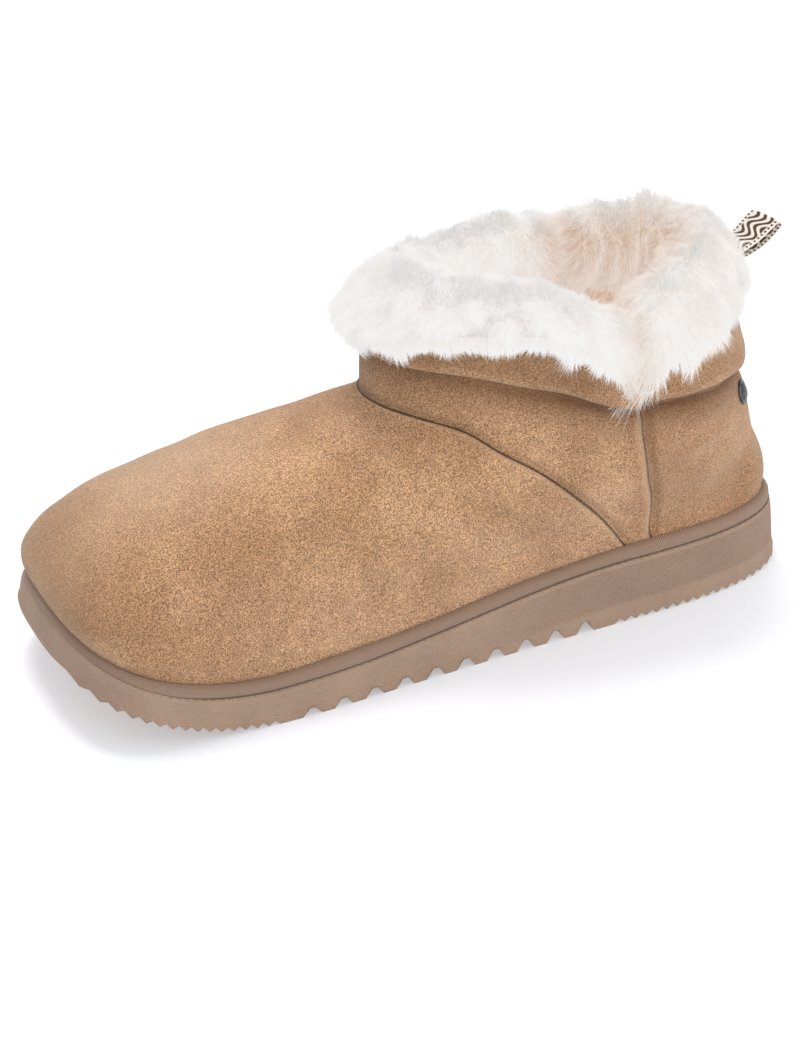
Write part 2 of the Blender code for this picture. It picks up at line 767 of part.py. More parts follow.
def stand_on_floor(pieces):
    """Put the middle of the whole shoe's box over the origin, its tread on the floor."""
    bpy.context.view_layer.update()
    graph = bpy.context.evaluated_depsgraph_get()
    corners = [piece.matrix_world @ Vector(corner) for piece in pieces
               for corner in piece.evaluated_get(graph).bound_box]
    low = [min(corner[axis] for corner in corners) for axis in range(3)]
    high = [max(corner[axis] for corner in corners) for axis in range(3)]
    shift = Vector((-(low[0] + high[0]) / 2, -(low[1] + high[1]) / 2, -low[2]))
    for item in bpy.context.scene.objects:
        item.location += shift


def main():
    for item in list(bpy.data.objects):
        bpy.data.objects.remove(item, do_unlink=True)
    columns = upper_columns()
    normals = face_normals(columns)
    cuff_front = make_cuff("cuff_front", NOTCH_STATION, STATIONS - NOTCH_STATION, columns, normals)
    cuff_back = make_cuff("cuff_back", -NOTCH_STATION, NOTCH_STATION, columns, normals)
    pieces = [
        make_outsole(),
        make_rand(),
        make_insole(),
        make_upper(),
        cuff_front,
        cuff_back,
        make_pull_loop(columns, cuff_back),
        make_heel_stud(columns, normals),
    ]
    stand_on_floor(pieces)


main()
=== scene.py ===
# %% [markdown]
# A low bootie slipper, left shoe: chestnut suede, a deep plush cuff turned down over the ankle,
# a woven tape round the foot of the suede and a thick foamed sole with teeth and lugs.
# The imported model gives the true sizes. This script dresses it piece by piece, and every piece
# is drawn from the same named sizes, so it lands where the solid one is.

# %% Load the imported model
import math

import bmesh
import bpy
import numpy as np
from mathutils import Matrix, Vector


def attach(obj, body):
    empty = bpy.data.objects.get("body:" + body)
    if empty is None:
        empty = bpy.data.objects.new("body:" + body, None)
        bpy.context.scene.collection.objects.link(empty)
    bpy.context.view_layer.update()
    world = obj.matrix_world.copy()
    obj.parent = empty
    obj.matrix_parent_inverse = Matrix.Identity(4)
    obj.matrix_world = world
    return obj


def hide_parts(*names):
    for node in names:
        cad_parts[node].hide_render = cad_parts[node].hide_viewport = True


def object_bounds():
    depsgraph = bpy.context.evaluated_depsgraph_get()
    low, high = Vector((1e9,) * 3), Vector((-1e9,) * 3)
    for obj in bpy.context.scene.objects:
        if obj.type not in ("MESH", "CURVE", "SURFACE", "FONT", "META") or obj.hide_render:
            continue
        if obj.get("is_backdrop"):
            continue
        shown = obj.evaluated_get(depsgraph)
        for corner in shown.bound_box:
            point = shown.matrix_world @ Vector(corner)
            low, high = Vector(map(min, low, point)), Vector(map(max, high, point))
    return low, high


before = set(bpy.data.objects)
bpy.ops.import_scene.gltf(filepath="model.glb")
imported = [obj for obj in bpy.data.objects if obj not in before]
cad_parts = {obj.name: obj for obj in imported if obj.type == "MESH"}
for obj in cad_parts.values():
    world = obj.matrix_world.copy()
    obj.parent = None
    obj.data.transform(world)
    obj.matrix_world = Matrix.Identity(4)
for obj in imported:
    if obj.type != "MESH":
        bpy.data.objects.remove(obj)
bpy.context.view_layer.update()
MM = 0.001

# %% [markdown]
# The camera comes first. The photograph was taken with a long lens from the outer side of the
# foot, a little in front of it and from above, so the camera stands 1.3 m away and looks down
# by about 29 degrees. A long lens keeps the toe from looking larger than the heel. The plain
# view transform keeps white paper white, as product photographs do.


# %% Camera
def put(name, data):
    """A new object with its data, linked into the scene."""
    item = bpy.data.objects.new(name, data)
    bpy.context.scene.collection.objects.link(item)
    return item


CAMERA_AT = Vector((-0.4520, -1.0452, 0.6815))
LOOKS_AT = Vector((-0.0062, -0.0027, 0.0394))
SENSOR_WIDTH, LENS = 36, 126.2
camera_data = bpy.data.cameras.new("camera")
camera_data.sensor_width = SENSOR_WIDTH
camera_data.lens = LENS
camera = put("camera", camera_data)
camera.location = CAMERA_AT
camera.rotation_euler = (LOOKS_AT - CAMERA_AT).to_track_quat("-Z", "Y").to_euler()
bpy.context.scene.camera = camera
bpy.context.scene.view_settings.view_transform = "Standard"

# %% [markdown]
# A slipper has no straight edge, so its forms are read from short tables, as a last maker keeps
# a few widths and heights for each size. This reader draws a smooth line through a column of a
# table without overshooting, so a table with a flat stretch stays flat there.


# %% Tables and outline
def read(rows, column, at):
    """Smooth values of one column of a table; the first row names the columns."""
    data = np.array(rows[1:], float)
    key, values = data[:, 0], data[:, rows[0].index(column)]
    at = np.clip(np.asarray(at, float), key[0], key[-1])
    slopes = np.diff(values) / np.diff(key)
    before, after = slopes[:-1], slopes[1:]
    same_way = before * after > 0
    between = np.where(same_way, 2 * before * after / np.where(same_way, before + after, 1), 0)
    tangents = np.concatenate([slopes[:1], between, slopes[-1:]])
    i = np.clip(np.searchsorted(key, at) - 1, 0, len(key) - 2)
    width = key[i + 1] - key[i]
    t = (at - key[i]) / width
    rise = t * t * (3 - 2 * t)
    bend = (1 - t) * tangents[i] - t * tangents[i + 1]
    return values[i] + (values[i + 1] - values[i]) * rise + width * t * (1 - t) * bend


SOLE_LENGTH, BALL_WIDTH, TOE_SWING = 0.285, 0.106, 0.006
HEEL_ROUND, TOE_ROUND = 0.075, 0.060
HEEL_POWER, TOE_POWER = 2.36, 2.9
HEEL_X = SOLE_LENGTH / 2
OUTLINE = [
    ("along", "lateral", "medial"),
    (0.00, 0.65, 0.66),
    (0.15, 0.66, 0.66),
    (0.35, 0.75, 0.70),
    (0.55, 0.89, 0.82),
    (0.72, 1.02, 0.96),
    (0.86, 1.08, 0.98),
    (1.00, 1.24, 0.98),
]


def end_round(distance, length, power):
    """0 at the tip of a rounded end, 1 where the straight sides begin."""
    left = np.clip(1 - distance / length, 0, None)
    return (1 - left ** power) ** (1 / power)


def sole_edge(share, side, inset):
    """Plan of the sole's outline, drawn in by an inset. side is -1 lateral, 1 medial."""
    length = SOLE_LENGTH - 2 * inset
    heel = end_round(share * length, HEEL_ROUND - inset, HEEL_POWER)
    toe = end_round((1 - share) * length, TOE_ROUND - inset, TOE_POWER)
    half = np.where(side < 0, read(OUTLINE, "lateral", share), read(OUTLINE, "medial", share))
    half = half * BALL_WIDTH / 2 - inset
    return HEEL_X - inset - share * length, TOE_SWING * share + side * half * heel * toe


def even_turn(count):
    """Shares of the length, closest together at heel and toe where the outline turns."""
    return (1 - np.cos(np.pi * np.arange(count + 1) / count)) / 2


def once_round(shares):
    """Stations once round the shoe: heel to toe on the lateral side, back on the medial one."""
    share = np.concatenate([shares, shares[-2:0:-1]])
    side = np.concatenate([-np.ones(len(shares)), np.ones(len(shares) - 2)])
    return share, side


_, probe_y = sole_edge(*once_round(even_turn(400)), 0.0)
SHIFT = np.array([0.0, -(probe_y.min() + probe_y.max()) / 2, 0.0])
print("the outline sits", round(SHIFT[1] / MM, 2), "mm to the side of the foot's line")

# %% [markdown]
# Every main piece here is a grid: rings of points, one above the other. This helper turns such
# a grid into a mesh, smooth shaded, and stores extra values on its points that the materials
# read later, such as the distance to a seam.


# %% Grid to mesh
def clean(mesh, sources, merge=0.0, fill=False):
    """Builds a mesh from others: doubles merged, holes filled, faces turned outwards."""
    work = bmesh.new()
    for source in sources:
        work.from_mesh(source)
    if merge:
        bmesh.ops.remove_doubles(work, verts=work.verts, dist=merge)
    if fill:
        bmesh.ops.holes_fill(work, edges=work.edges, sides=0)
    bmesh.ops.recalc_face_normals(work, faces=work.faces)
    work.to_mesh(mesh)
    work.free()


def grid_piece(name, points, values=None, closed_rings=True, caps=False):
    """A piece from an array (rings, points in a ring, 3), joined ring to ring."""
    rings, count = points.shape[:2]
    index = np.arange(rings * count).reshape(rings, count)
    following = np.roll(index, -1, axis=1)
    if not closed_rings:
        index, following = index[:, :-1], following[:, :-1]
    quads = np.stack([index[:-1], following[:-1], following[1:], index[1:]], axis=-1)
    faces = quads.reshape(-1, 4).tolist()
    for base in (0, (rings - 1) * count) if caps else ():
        for i in range(count // 2):
            far, near = base + (count - i - 1) % count, base + (count - i) % count
            faces.append(tuple(dict.fromkeys((base + i, base + i + 1, far, near))))
    mesh = bpy.data.meshes.new(name)
    mesh.from_pydata((points.reshape(-1, 3) + SHIFT).tolist(), [], faces)
    for key, array in (values or {}).items():
        array = np.asarray(array, np.float32)
        single = array.ndim < 3
        kind, field = ("FLOAT", "value") if single else ("FLOAT_VECTOR", "vector")
        whole = np.broadcast_to(array, (rings, count) if single else points.shape)
        mesh.attributes.new(key, kind, "POINT").data.foreach_set(field, whole.ravel())
    clean(mesh, [mesh], merge=0.01 * MM)
    mesh.shade_smooth()
    return put(name, mesh)


def unit(vectors):
    return vectors / np.maximum(np.linalg.norm(vectors, axis=-1, keepdims=True), 1e-9)


def distance_along(line):
    """Distance of each point of a line from its first one."""
    return np.concatenate([[0], np.cumsum(np.linalg.norm(np.diff(line, axis=0), axis=1))])


def grid_normals(points):
    """Outward directions of a grid whose rings run round the shoe."""
    along = np.roll(points, -1, axis=1) - np.roll(points, 1, axis=1)
    return unit(np.cross(np.gradient(points, axis=0), along))


def count_triangles(piece):
    piece.data.calc_loop_triangles()
    print(piece.name, len(piece.data.loop_triangles), "triangles")


def dress(piece, material, *nodes):
    """Gives a piece its material, lets it ride on the shoe and hides the solids it stands for."""
    piece.data.materials.clear()
    piece.data.materials.append(material)
    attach(piece, "root")
    if nodes:
        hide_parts(*nodes)
    count_triangles(piece)


# %% [markdown]
# Materials are small networks of nodes. One function adds a node and wires it, and one turns the
# hex colours that a designer writes down into the linear values that the renderer wants. The
# short ones after them do sums, waves and noise, and find their tree from the socket they get.


# %% Node helpers
def linear(code):
    """An sRGB hex colour as linear red, green, blue and alpha."""
    parts = [int(code[i:i + 2], 16) / 255 for i in (0, 2, 4)]
    return [c / 12.92 if c <= 0.04045 else ((c + 0.055) / 1.055) ** 2.4 for c in parts] + [1.0]


def add(tree, kind, inputs=None, **settings):
    """A node with its settings, its values, and links where an input is given a socket."""
    node = tree.nodes.new(kind)
    for key, value in settings.items():
        setattr(node, key, value)
    for key, value in (inputs or {}).items():
        if isinstance(value, bpy.types.NodeSocket):
            tree.links.new(value, node.inputs[key])
        else:
            node.inputs[key].default_value = value
    return node


def new_material(name, roughness, **sockets):
    """A material with its Principled shader set; returns it with its tree."""
    material = bpy.data.materials.new(name)
    material.use_nodes = True
    shader = material.node_tree.nodes["Principled BSDF"]
    shader.inputs["Roughness"].default_value = roughness
    for key, value in sockets.items():
        shader.inputs[key.replace("_", " ")].default_value = value
    return material, material.node_tree


def place_in(tree):
    """Places in the object's own space."""
    return add(tree, "ShaderNodeTexCoord").outputs["Object"]


def stored(tree, name, output="Fac"):
    """A value that was stored on the points of the mesh."""
    return add(tree, "ShaderNodeAttribute", attribute_name=name).outputs[output]


def tree_of(*values):
    """The tree of the first socket among some values."""
    return next(value.id_data for value in values if isinstance(value, bpy.types.NodeSocket))


def arithmetic(operation, first, second=0.0):
    tree = tree_of(first, second)
    return add(tree, "ShaderNodeMath", {0: first, 1: second}, operation=operation).outputs[0]


def times(first, second):
    return arithmetic("MULTIPLY", first, second)


def plus(first, second):
    return arithmetic("ADD", first, second)


def minus(first, second):
    return arithmetic("SUBTRACT", first, second)


def wave(value, length):
    """A sine wave that repeats after a length."""
    return arithmetic("SINE", times(value, 2 * math.pi / length))


def vectors(operation, first, second=(0, 0, 0)):
    tree = tree_of(first, second)
    return add(tree, "ShaderNodeVectorMath", {0: first, 1: second}, operation=operation).outputs[0]


def scaled(vector, factor):
    tree = tree_of(vector, factor)
    inputs = {0: vector, "Scale": factor}
    return add(tree, "ShaderNodeVectorMath", inputs, operation="SCALE").outputs[0]


def spread(value, low, high, to_low=0.0, to_high=1.0, smooth=True):
    """A value's range mapped to another, clamped."""
    kind = "SMOOTHSTEP" if smooth else "LINEAR"
    limits = {"Value": value, "From Min": low, "From Max": high, "To Min": to_low, "To Max": to_high}
    return add(tree_of(value), "ShaderNodeMapRange", limits, interpolation_type=kind).outputs[0]


def noise(place, scale, detail=2.0, roughness=0.5):
    inputs = {"Vector": place, "Scale": scale, "Detail": detail, "Roughness": roughness}
    return add(tree_of(place), "ShaderNodeTexNoise", inputs).outputs[0]


def mix(factor, first, second):
    """Colour between two, each of them a socket or a hex colour."""
    first, second = [linear(tone) if isinstance(tone, str) else tone for tone in (first, second)]
    inputs = {0: factor, 6: first, 7: second}
    return add(tree_of(factor), "ShaderNodeMix", inputs, data_type="RGBA").outputs[2]


def layered(tone, layers):
    """A tone under thin layers of colour: the layer's mask, its strength where that is 1, its colour."""
    for mask, strength, colour in layers:
        tone = mix(times(mask, strength), tone, colour)
    return tone


def wire(tree, value, name):
    """Links a socket to an input of the tree's shader."""
    tree.links.new(value, tree.nodes["Principled BSDF"].inputs[name])


def coat(tree, tone, height, strength, depth):
    """Gives the shader its colour and a bump of a strength and a depth."""
    bump = add(tree, "ShaderNodeBump", {"Strength": strength, "Distance": depth, "Height": height})
    wire(tree, tone, "Base Color")
    wire(tree, bump.outputs[0], "Normal")


# %% [markdown]
# The outsole is one block of foamed rubber, moulded in taupe brown. Its side has very fine level
# ribs that hide scuffs, a smooth band below them and a toothed edge: fine teeth under the heel
# and toe, ten open notches between broad lugs under the middle. The side is drawn as rings
# whose lowest one follows the tread, and the tread's face is a grid between its two edges, so
# each notch runs straight across the sole.

# %% Sole heights and tread
HEEL_STACK, BALL_STACK, TOE_STACK = 0.0230, 0.0126, 0.0104
TOE_SPRING, SPRING_FROM, ARCH_RISE = 0.0230, 0.742, 0.0022
SIDE_FLARE = 0.0024
TOOTH_PITCH, TOOTH_DEPTH = 0.0044, 0.0018
LUG_PITCH, LUG_DEPTH_FRONT, LUG_DEPTH_BACK = 0.0123, 0.0028, 0.0046
LUGS_FROM, LUGS_TO = 0.280 * SOLE_LENGTH, 0.754 * SOLE_LENGTH
NOTCH_MOUTH, NOTCH_FLOOR = 0.30, 0.09
PADS = ((0.09, 0.22), (0.60, 0.735))
PAD_HALF = 0.017
STACK = [("along", "stack"), (0.0, HEEL_STACK), (0.25, HEEL_STACK), (0.65, BALL_STACK), (1.0, TOE_STACK)]
WAIST = [("along", "lift"), (0.28, 0), (0.42, 1), (0.58, 0)]
SOLE_SIDE = [
    ("up", "lean"),
    (0.00, 0.00),
    (0.19, 0.04),
    (0.22, 0.20),
    (0.60, 0.48),
    (0.93, 0.80),
    (1.00, 1.12),
]


def underside(along):
    """Height of the tread's tips: flat to the ball, then the toe spring."""
    return TOE_SPRING * np.clip((along - SPRING_FROM) / (1 - SPRING_FROM), 0, None) ** 2


def sole_top(along):
    return underside(along) + read(STACK, "stack", along)


def along_at(x):
    return (HEEL_X - x) / SOLE_LENGTH


def tread_steps():
    """Places along the sole and how deep the tread is cut there."""
    steps = []

    def teeth(start, end):
        count = round((end - start) / TOOTH_PITCH)
        for i in range(count):
            steps.append((start + i * (end - start) / count, 0.0))
            steps.append((start + (i + 0.5) * (end - start) / count, TOOTH_DEPTH))
        steps.append((end, 0.0))

    teeth(0.0, LUGS_FROM)
    lugs = round((LUGS_TO - LUGS_FROM) / LUG_PITCH)
    pitch = (LUGS_TO - LUGS_FROM) / lugs
    for i in range(1, lugs):
        depth = LUG_DEPTH_BACK + (LUG_DEPTH_FRONT - LUG_DEPTH_BACK) * i / lugs
        notch = ((-NOTCH_MOUTH, 0.0), (-NOTCH_FLOOR, depth), (NOTCH_FLOOR, depth), (NOTCH_MOUTH, 0.0))
        steps += [(LUGS_FROM + (i + half) * pitch, cut) for half, cut in notch]
    teeth(LUGS_TO, SOLE_LENGTH)
    return np.array(steps)


steps = tread_steps()
print(len(steps), "corners in the tread")


# %% Outsole
def tread_height(share, side_y):
    """Height of the tread at places along the sole and across it."""
    depth = np.interp(share * SOLE_LENGTH, steps[:, 0], steps[:, 1])
    for start, end in PADS:
        depth = np.where((share > start) & (share < end) & (np.abs(side_y) <= PAD_HALF), 0, depth)
    lift = ARCH_RISE * read(WAIST, "lift", share) * np.clip(side_y * 2 / HEEL_ROUND, 0, 1)
    return underside(share) + depth + lift


corner_shares = steps[:, 0] / SOLE_LENGTH
shares = np.union1d(np.round(even_turn(150), 5), np.round(corner_shares, 5))
share, side = once_round(shares)
SIDE_UPS = (0.0, 0.05, 0.12, 0.19, 0.22, 0.30, 0.45, 0.60, 0.75, 0.88, 0.93, 0.97, 1.0)
side_rings, rib_place = [], []
for up in SIDE_UPS:
    edge_x, edge_y = sole_edge(share, side, 0.0)
    low, high = tread_height(share, edge_y), sole_top(along_at(edge_x))
    height = low + up * (high - low)
    plain_up = (height - underside(share)) / (high - underside(share))
    x, y = sole_edge(share, side, read(SOLE_SIDE, "lean", plain_up) * SIDE_FLARE)
    side_rings.append(np.stack([x, y, height], axis=-1))
    rib_place.append(high - height)
outsole_side = grid_piece("outsole_side", np.array(side_rings), {"from_top": rib_place})

ACROSS = (-1.0, -0.0183, -0.0170, -0.0100, 0.0, 0.0100, 0.0170, 0.0183, 1.0)
BELOW_RIBS = 0.02
lateral_x, lateral_y = sole_edge(shares, -1, 0.0)
_, medial_y = sole_edge(shares, 1, 0.0)
tread_rows = []
for y in ACROSS:
    at = np.clip(np.full(len(shares), y), lateral_y, medial_y)
    tread_rows.append(np.stack([lateral_x, at, tread_height(shares, at)], axis=-1))
tread = grid_piece("tread", np.array(tread_rows), {"from_top": BELOW_RIBS}, closed_rings=False)

TOP_INSET = SOLE_SIDE[-1][1] * SIDE_FLARE
row_x, low_y = sole_edge(shares, -1, TOP_INSET)
row_x, high_y = sole_edge(shares, 1, TOP_INSET)
top_rows = []
for part in np.linspace(0, 1, 5):
    row_y = low_y + (high_y - low_y) * part
    top_rows.append(np.stack([row_x, row_y, sole_top(along_at(row_x))], axis=-1))
top = grid_piece("sole_top_face", np.array(top_rows), {"from_top": 0.0}, closed_rings=False)


def join(name, pieces):
    """Several pieces made into one closed piece."""
    mesh = bpy.data.meshes.new(name)
    clean(mesh, [piece.data for piece in pieces], merge=0.02 * MM)
    for piece in pieces:
        bpy.data.objects.remove(piece)
    mesh.shade_smooth()
    return put(name, mesh)


outsole = join("outsole_foam", [outsole_side, tread, top])
outsole.data.set_sharp_from_angle(angle=math.radians(28))

# %% [markdown]
# Foamed rubber (EVA) comes from the mould matt, with a very fine skin grain. The ribs on its
# side are about 0.9 mm apart, which is at the limit of what the render shows, so they are a
# bump that follows the distance from the sole's top edge and fades out above the teeth. Their
# troughs are also painted darker, as painted shade.

# %% Foamed rubber
RIB_PITCH = 0.00095
foam, tree = new_material("moulded_eva_foam", 0.78, Specular_IOR_Level=0.35)
where, from_top = place_in(tree), stored(tree, "from_top")
place_x = add(tree, "ShaderNodeSeparateXYZ", {0: where}).outputs[0]
foam_grain = noise(where, 1700, 3, 0.6)
rib_zone = times(spread(from_top, 0.0008, 0.0016), spread(from_top, 0.0170, 0.0140))
ribs = times(times(wave(from_top, RIB_PITCH), rib_zone), spread(place_x, 0.0, 0.06, 0.35, 1.0))
tone = mix(spread(noise(where, 55, 3), 0.3, 0.7), "977D6A", "A08672")
tone = layered(tone, [
    (spread(foam_grain, 0.36, 0.64), 0.30, "B8A08C"),
    # Painted shade: the troughs between the ribs are painted darker
    (spread(ribs, 0.2, -1.0), 0.30, "7C5F4C"),
])
coat(tree, tone, plus(times(ribs, 0.6), times(foam_grain, 0.9)), 0.7, 0.0004)
dress(outsole, foam, "outsole")

# %% [markdown]
# The rand is a woven tape in the sole's colour, rolled over a cord and stitched down round the
# foot of the suede. It is swept round the outline as a soft D shape. Its twill shows as slanted
# ribs, so the sweep stores the distance round the shoe and round its own section.

# %% Rand
RAND_WIDTH, RAND_HEIGHT, RAND_GIRTH = 0.0034, 0.0046, 0.009
RAND_INSET, GAP = SIDE_FLARE + 0.0004, 0.0003
RAND_SECTION = [
    ("step", "out", "up"),
    (0.0, 0.00, -0.02),
    (1.0, 0.80, -0.02),
    (2.0, 1.04, 0.26),
    (3.0, 0.98, 0.66),
    (4.0, 0.68, 0.95),
    (5.0, 0.28, 1.02),
    (6.0, 0.00, 0.92),
]
rand_share, rand_side = once_round(even_turn(260))
edge_x, edge_y = sole_edge(rand_share, rand_side, SIDE_FLARE)
steps_round = np.hypot(np.diff(edge_x, append=edge_x[0]), np.diff(edge_y, append=edge_y[0]))
arc = np.concatenate([[0], np.cumsum(steps_round)[:-1]])
wobble = 0.06 * np.sin(arc * 41) + 0.05 * np.sin(arc * 97 + 1)
section_steps = np.linspace(0, 6, 19)
rand_rings = []
for step in section_steps:
    out, up = read(RAND_SECTION, "out", step), read(RAND_SECTION, "up", step)
    inset = RAND_INSET + (1 - out * (1 + wobble * 0.4 * (out > 0.3))) * RAND_WIDTH
    x, y = sole_edge(rand_share, rand_side, inset)
    z = sole_top(along_at(x)) + GAP + up * RAND_HEIGHT * (1 + wobble * (up > 0.5))
    rand_rings.append(np.stack([x, y, z], axis=-1))
rand_points = np.array(rand_rings + rand_rings[:1])
girth = np.append(section_steps / 6, 1.0)[:, None] * RAND_GIRTH
rand = grid_piece("rand_tape", rand_points, {"arc": arc, "girth": girth})

# %% Woven tape of the rand
TWILL_PITCH, TWILL_SLANT = 0.0011, 1.6
tape, tree = new_material("cotton_twill_tape", 0.9, Specular_IOR_Level=0.25, Sheen_Weight=0.15)
where = place_in(tree)
slant = plus(stored(tree, "arc"), times(stored(tree, "girth"), TWILL_SLANT))
twill = wave(plus(slant, times(noise(where, 160, 2), 0.0016)), TWILL_PITCH)
# Painted light and shade: the twill's ridges are painted lighter and its grooves darker, as the bump raises
# and lowers them
tone = mix(times(spread(twill, -1, 1), 0.75), "866B59", "AB917D")
tone = layered(tone, [(spread(noise(where, 60, 2), 0.35, 0.7), 0.4, "9A7D68")])
coat(tree, tone, plus(twill, times(noise(where, 2200, 2), 0.8)), 0.6, 0.00022)
dress(rand, tape, "rand")

# %% [markdown]
# The upper starts as the last does: ribs rise from the rand to the bend of the ankle, and from
# there the shaft goes up in soft folds to its rim under the plush. The same tables as the solid
# model are read at a much finer spacing.

# %% Upper tables
WALL, STEP = 0.0017, 0.0006
MEDIAL_FALL, INSTEP_HEIGHT = 0.0060, 0.094
COLLAR_LENGTH, COLLAR_WIDTH, COLLAR_HEIGHT = 0.147, 0.073, 0.132
COLLAR_BACK, COLLAR_FRONT = 0.0140, 0.050
RIBS = [
    ("along", "belly", "wall", "crown", "drop"),
    (0.00, 0.060, 0.30, 0.35, 0.45),
    (0.12, 0.035, 0.35, 0.30, 0.45),
    (0.30, 0.030, 0.42, 0.20, 0.40),
    (0.50, 0.050, 0.42, 0.20, 0.38),
    (0.70, 0.080, 0.40, 0.30, 0.36),
    (0.85, 0.112, 0.41, 0.44, 0.285),
    (0.95, 0.157, 0.43, 0.57, 0.210),
    (1.00, 0.195, 0.43, 0.61, 0.150),
]
SHAFT = [
    ("along", "half", "bend", "crease", "tuck", "rim", "medial_rim", "medial_bend"),
    (0.00, 0.92, 0.500, 0.630, 0.800, 0.930, 0.000, 0.000),
    (0.20, 0.97, 0.515, 0.650, 0.790, 0.910, 0.030, 0.000),
    (0.41, 1.00, 0.545, 0.665, 0.755, 0.860, 0.075, 0.000),
    (0.62, 0.95, 0.595, 0.745, 0.870, 0.950, 0.010, -0.022),
    (0.82, 0.88, 0.642, 0.805, 0.915, 0.980, -0.040, -0.034),
    (1.00, 0.85, 0.680, 0.842, 0.890, 0.990, 0.000, 0.000),
]
FOLDS = [
    ("bend", "crease", 0.00, 0.000, 0.000, 1.000),
    ("bend", "crease", 0.50, 0.020, 0.002, 1.000),
    ("bend", "crease", 1.00, 0.037, 0.006, 0.965),
    ("crease", "tuck", 0.35, 0.026, 0.000, 1.050),
    ("crease", "tuck", 1.00, 0.050, 0.004, 1.040),
    ("tuck", "rim", 0.50, 0.075, 0.030, 0.960),
    ("tuck", "rim", 1.00, 0.095, 0.070, 0.860),
]
MEDIAL_CHANGE = {"tuck": "medial_rim", "rim": "medial_rim", "bend": "medial_bend"}


def fold_height(share, side, name):
    height = read(SHAFT, name, share)
    if name in MEDIAL_CHANGE:
        height = height + np.where(side > 0, read(SHAFT, MEDIAL_CHANGE[name], share), 0)
    return height * COLLAR_HEIGHT


def fold_ring(share, side, fold):
    """One ring of the shaft's outer face."""
    low_name, high_name, part, back_in, front_in, width = fold
    back = HEEL_X - COLLAR_BACK - back_in * COLLAR_LENGTH
    length = back - (HEEL_X - COLLAR_BACK - (1 - front_in) * COLLAR_LENGTH)
    rear_end = end_round(share * length, COLLAR_WIDTH / 2, 2.0)
    front_end = end_round((1 - share) * length, COLLAR_FRONT, 2.0)
    half = read(SHAFT, "half", share) * COLLAR_WIDTH / 2 * width * rear_end * front_end
    x = back - share * length
    low, high = fold_height(share, side, low_name), fold_height(share, side, high_name)
    return np.stack([x, TOE_SWING * along_at(x) + side * half, low + (high - low) * part], axis=-1)


def foot_line(share, side, up):
    """The foot of the upper, just inside the rand, at a height above the sole."""
    x, y = sole_edge(share, side, RAND_INSET + RAND_WIDTH + GAP)
    return np.stack([x, y, sole_top(along_at(x)) + up], axis=-1)


def rib_rings(share, side, places):
    """Rings of the foot's part, from just above the rand (0) to the ankle bend (1)."""
    shape = {name: read(RIBS, name, share)[:, None] for name in RIBS[0][1:]}
    foot = foot_line(share, side, RAND_HEIGHT)
    bend = fold_ring(share, side, FOLDS[0])
    run, rise = (bend - foot) * (1, 1, 0), (bend - foot) * (0, 0, 1)
    out = -run / np.linalg.norm(run, axis=-1, keepdims=True) * shape["belly"] * BALL_WIDTH
    wall = foot + out + rise * shape["wall"]
    crown = foot + run * (1 - shape["crown"]) + rise * (1 - shape["drop"])
    rings = []
    for t in places:
        ring = foot * (1 - t) ** 3 + wall * 3 * t * (1 - t) ** 2 + crown * 3 * t * t * (1 - t) + bend * t ** 3
        ring[:, 2] -= MEDIAL_FALL * math.sin(math.pi * t) * np.sqrt(np.sin(np.pi * share)) * (side > 0)
        rings.append(ring)
    return rings


def through(points, per_span):
    """A smooth run of rings through a list of rings, with Catmull-Rom spans."""
    padded = [2 * points[0] - points[1]] + list(points) + [2 * points[-1] - points[-2]]
    rings = []
    for a, b, c, d in zip(padded, padded[1:], padded[2:], padded[3:]):
        for t in np.arange(per_span) / per_span:
            rings.append(0.5 * (2 * b + (c - a) * t + (2 * a - 5 * b + 4 * c - d) * t ** 2
                                + (3 * b - a - 3 * c + d) * t ** 3))
    return rings + [points[-1]]


# %% Outer face of the upper
RIB_COUNT, SPAN = 52, 7
upper_share, upper_side = once_round(even_turn(290))
foot_ring = foot_line(upper_share, upper_side, GAP)
ribs_part = rib_rings(upper_share, upper_side, np.linspace(0, 1, RIB_COUNT))
shaft_part = through([fold_ring(upper_share, upper_side, fold) for fold in FOLDS], SPAN)
skin = np.array([foot_ring] + ribs_part[:-1] + shaft_part)
BEND_ROW = RIB_COUNT
CREASE_ROW = BEND_ROW + 2 * SPAN
# The sharp turn at the ankle bend is eased by moving its rings towards their neighbours
EASING_PASSES, EASED_FROM, EASED_TO = 14, BEND_ROW - 9, BEND_ROW + 7
softness = np.interp(upper_share, [0.0, 0.45, 0.75, 1.0], [1.0, 0.9, 0.35, 0.10])[None, :, None]
for _ in range(EASING_PASSES):
    middle = (skin[EASED_FROM - 1:EASED_TO - 1] + skin[EASED_FROM + 1:EASED_TO + 1]) / 2
    skin[EASED_FROM:EASED_TO] += (middle - skin[EASED_FROM:EASED_TO]) * 0.5 * softness
normals = grid_normals(skin)
print("upper's face:", skin.shape[0], "rings of", skin.shape[1], "points")

# %% [markdown]
# Three suede panels meet in closed seams. The vamp's edge stands a little proud of the front
# quarter, and the quarter's edge rolls over the heel panel. Each point of the skin gets its
# signed distance to the two seams, measured in the surface. The skin is moved by that distance,
# and the material draws the dark line of the seam from the same value, so both always agree. The
# material also paints shade on the recessed panel beside each seam and a highlight on the rolled
# edge, from the same value.

# %% Seams
VAMP_SEAM = [
    ("along", "up"),
    (0.249, 0.25),
    (0.293, 0.44),
    (0.342, 0.60),
    (0.391, 0.73),
    (0.435, 0.82),
    (0.479, 0.91),
    (0.527, 0.955),
    (0.567, 0.975),
]
SIDE_SEAM = [
    ("up", "along"),
    (0.20, 0.222),
    (0.45, 0.224),
    (0.60, 0.237),
    (0.75, 0.247),
    (0.95, 0.256),
    (1.70, 0.262),
]


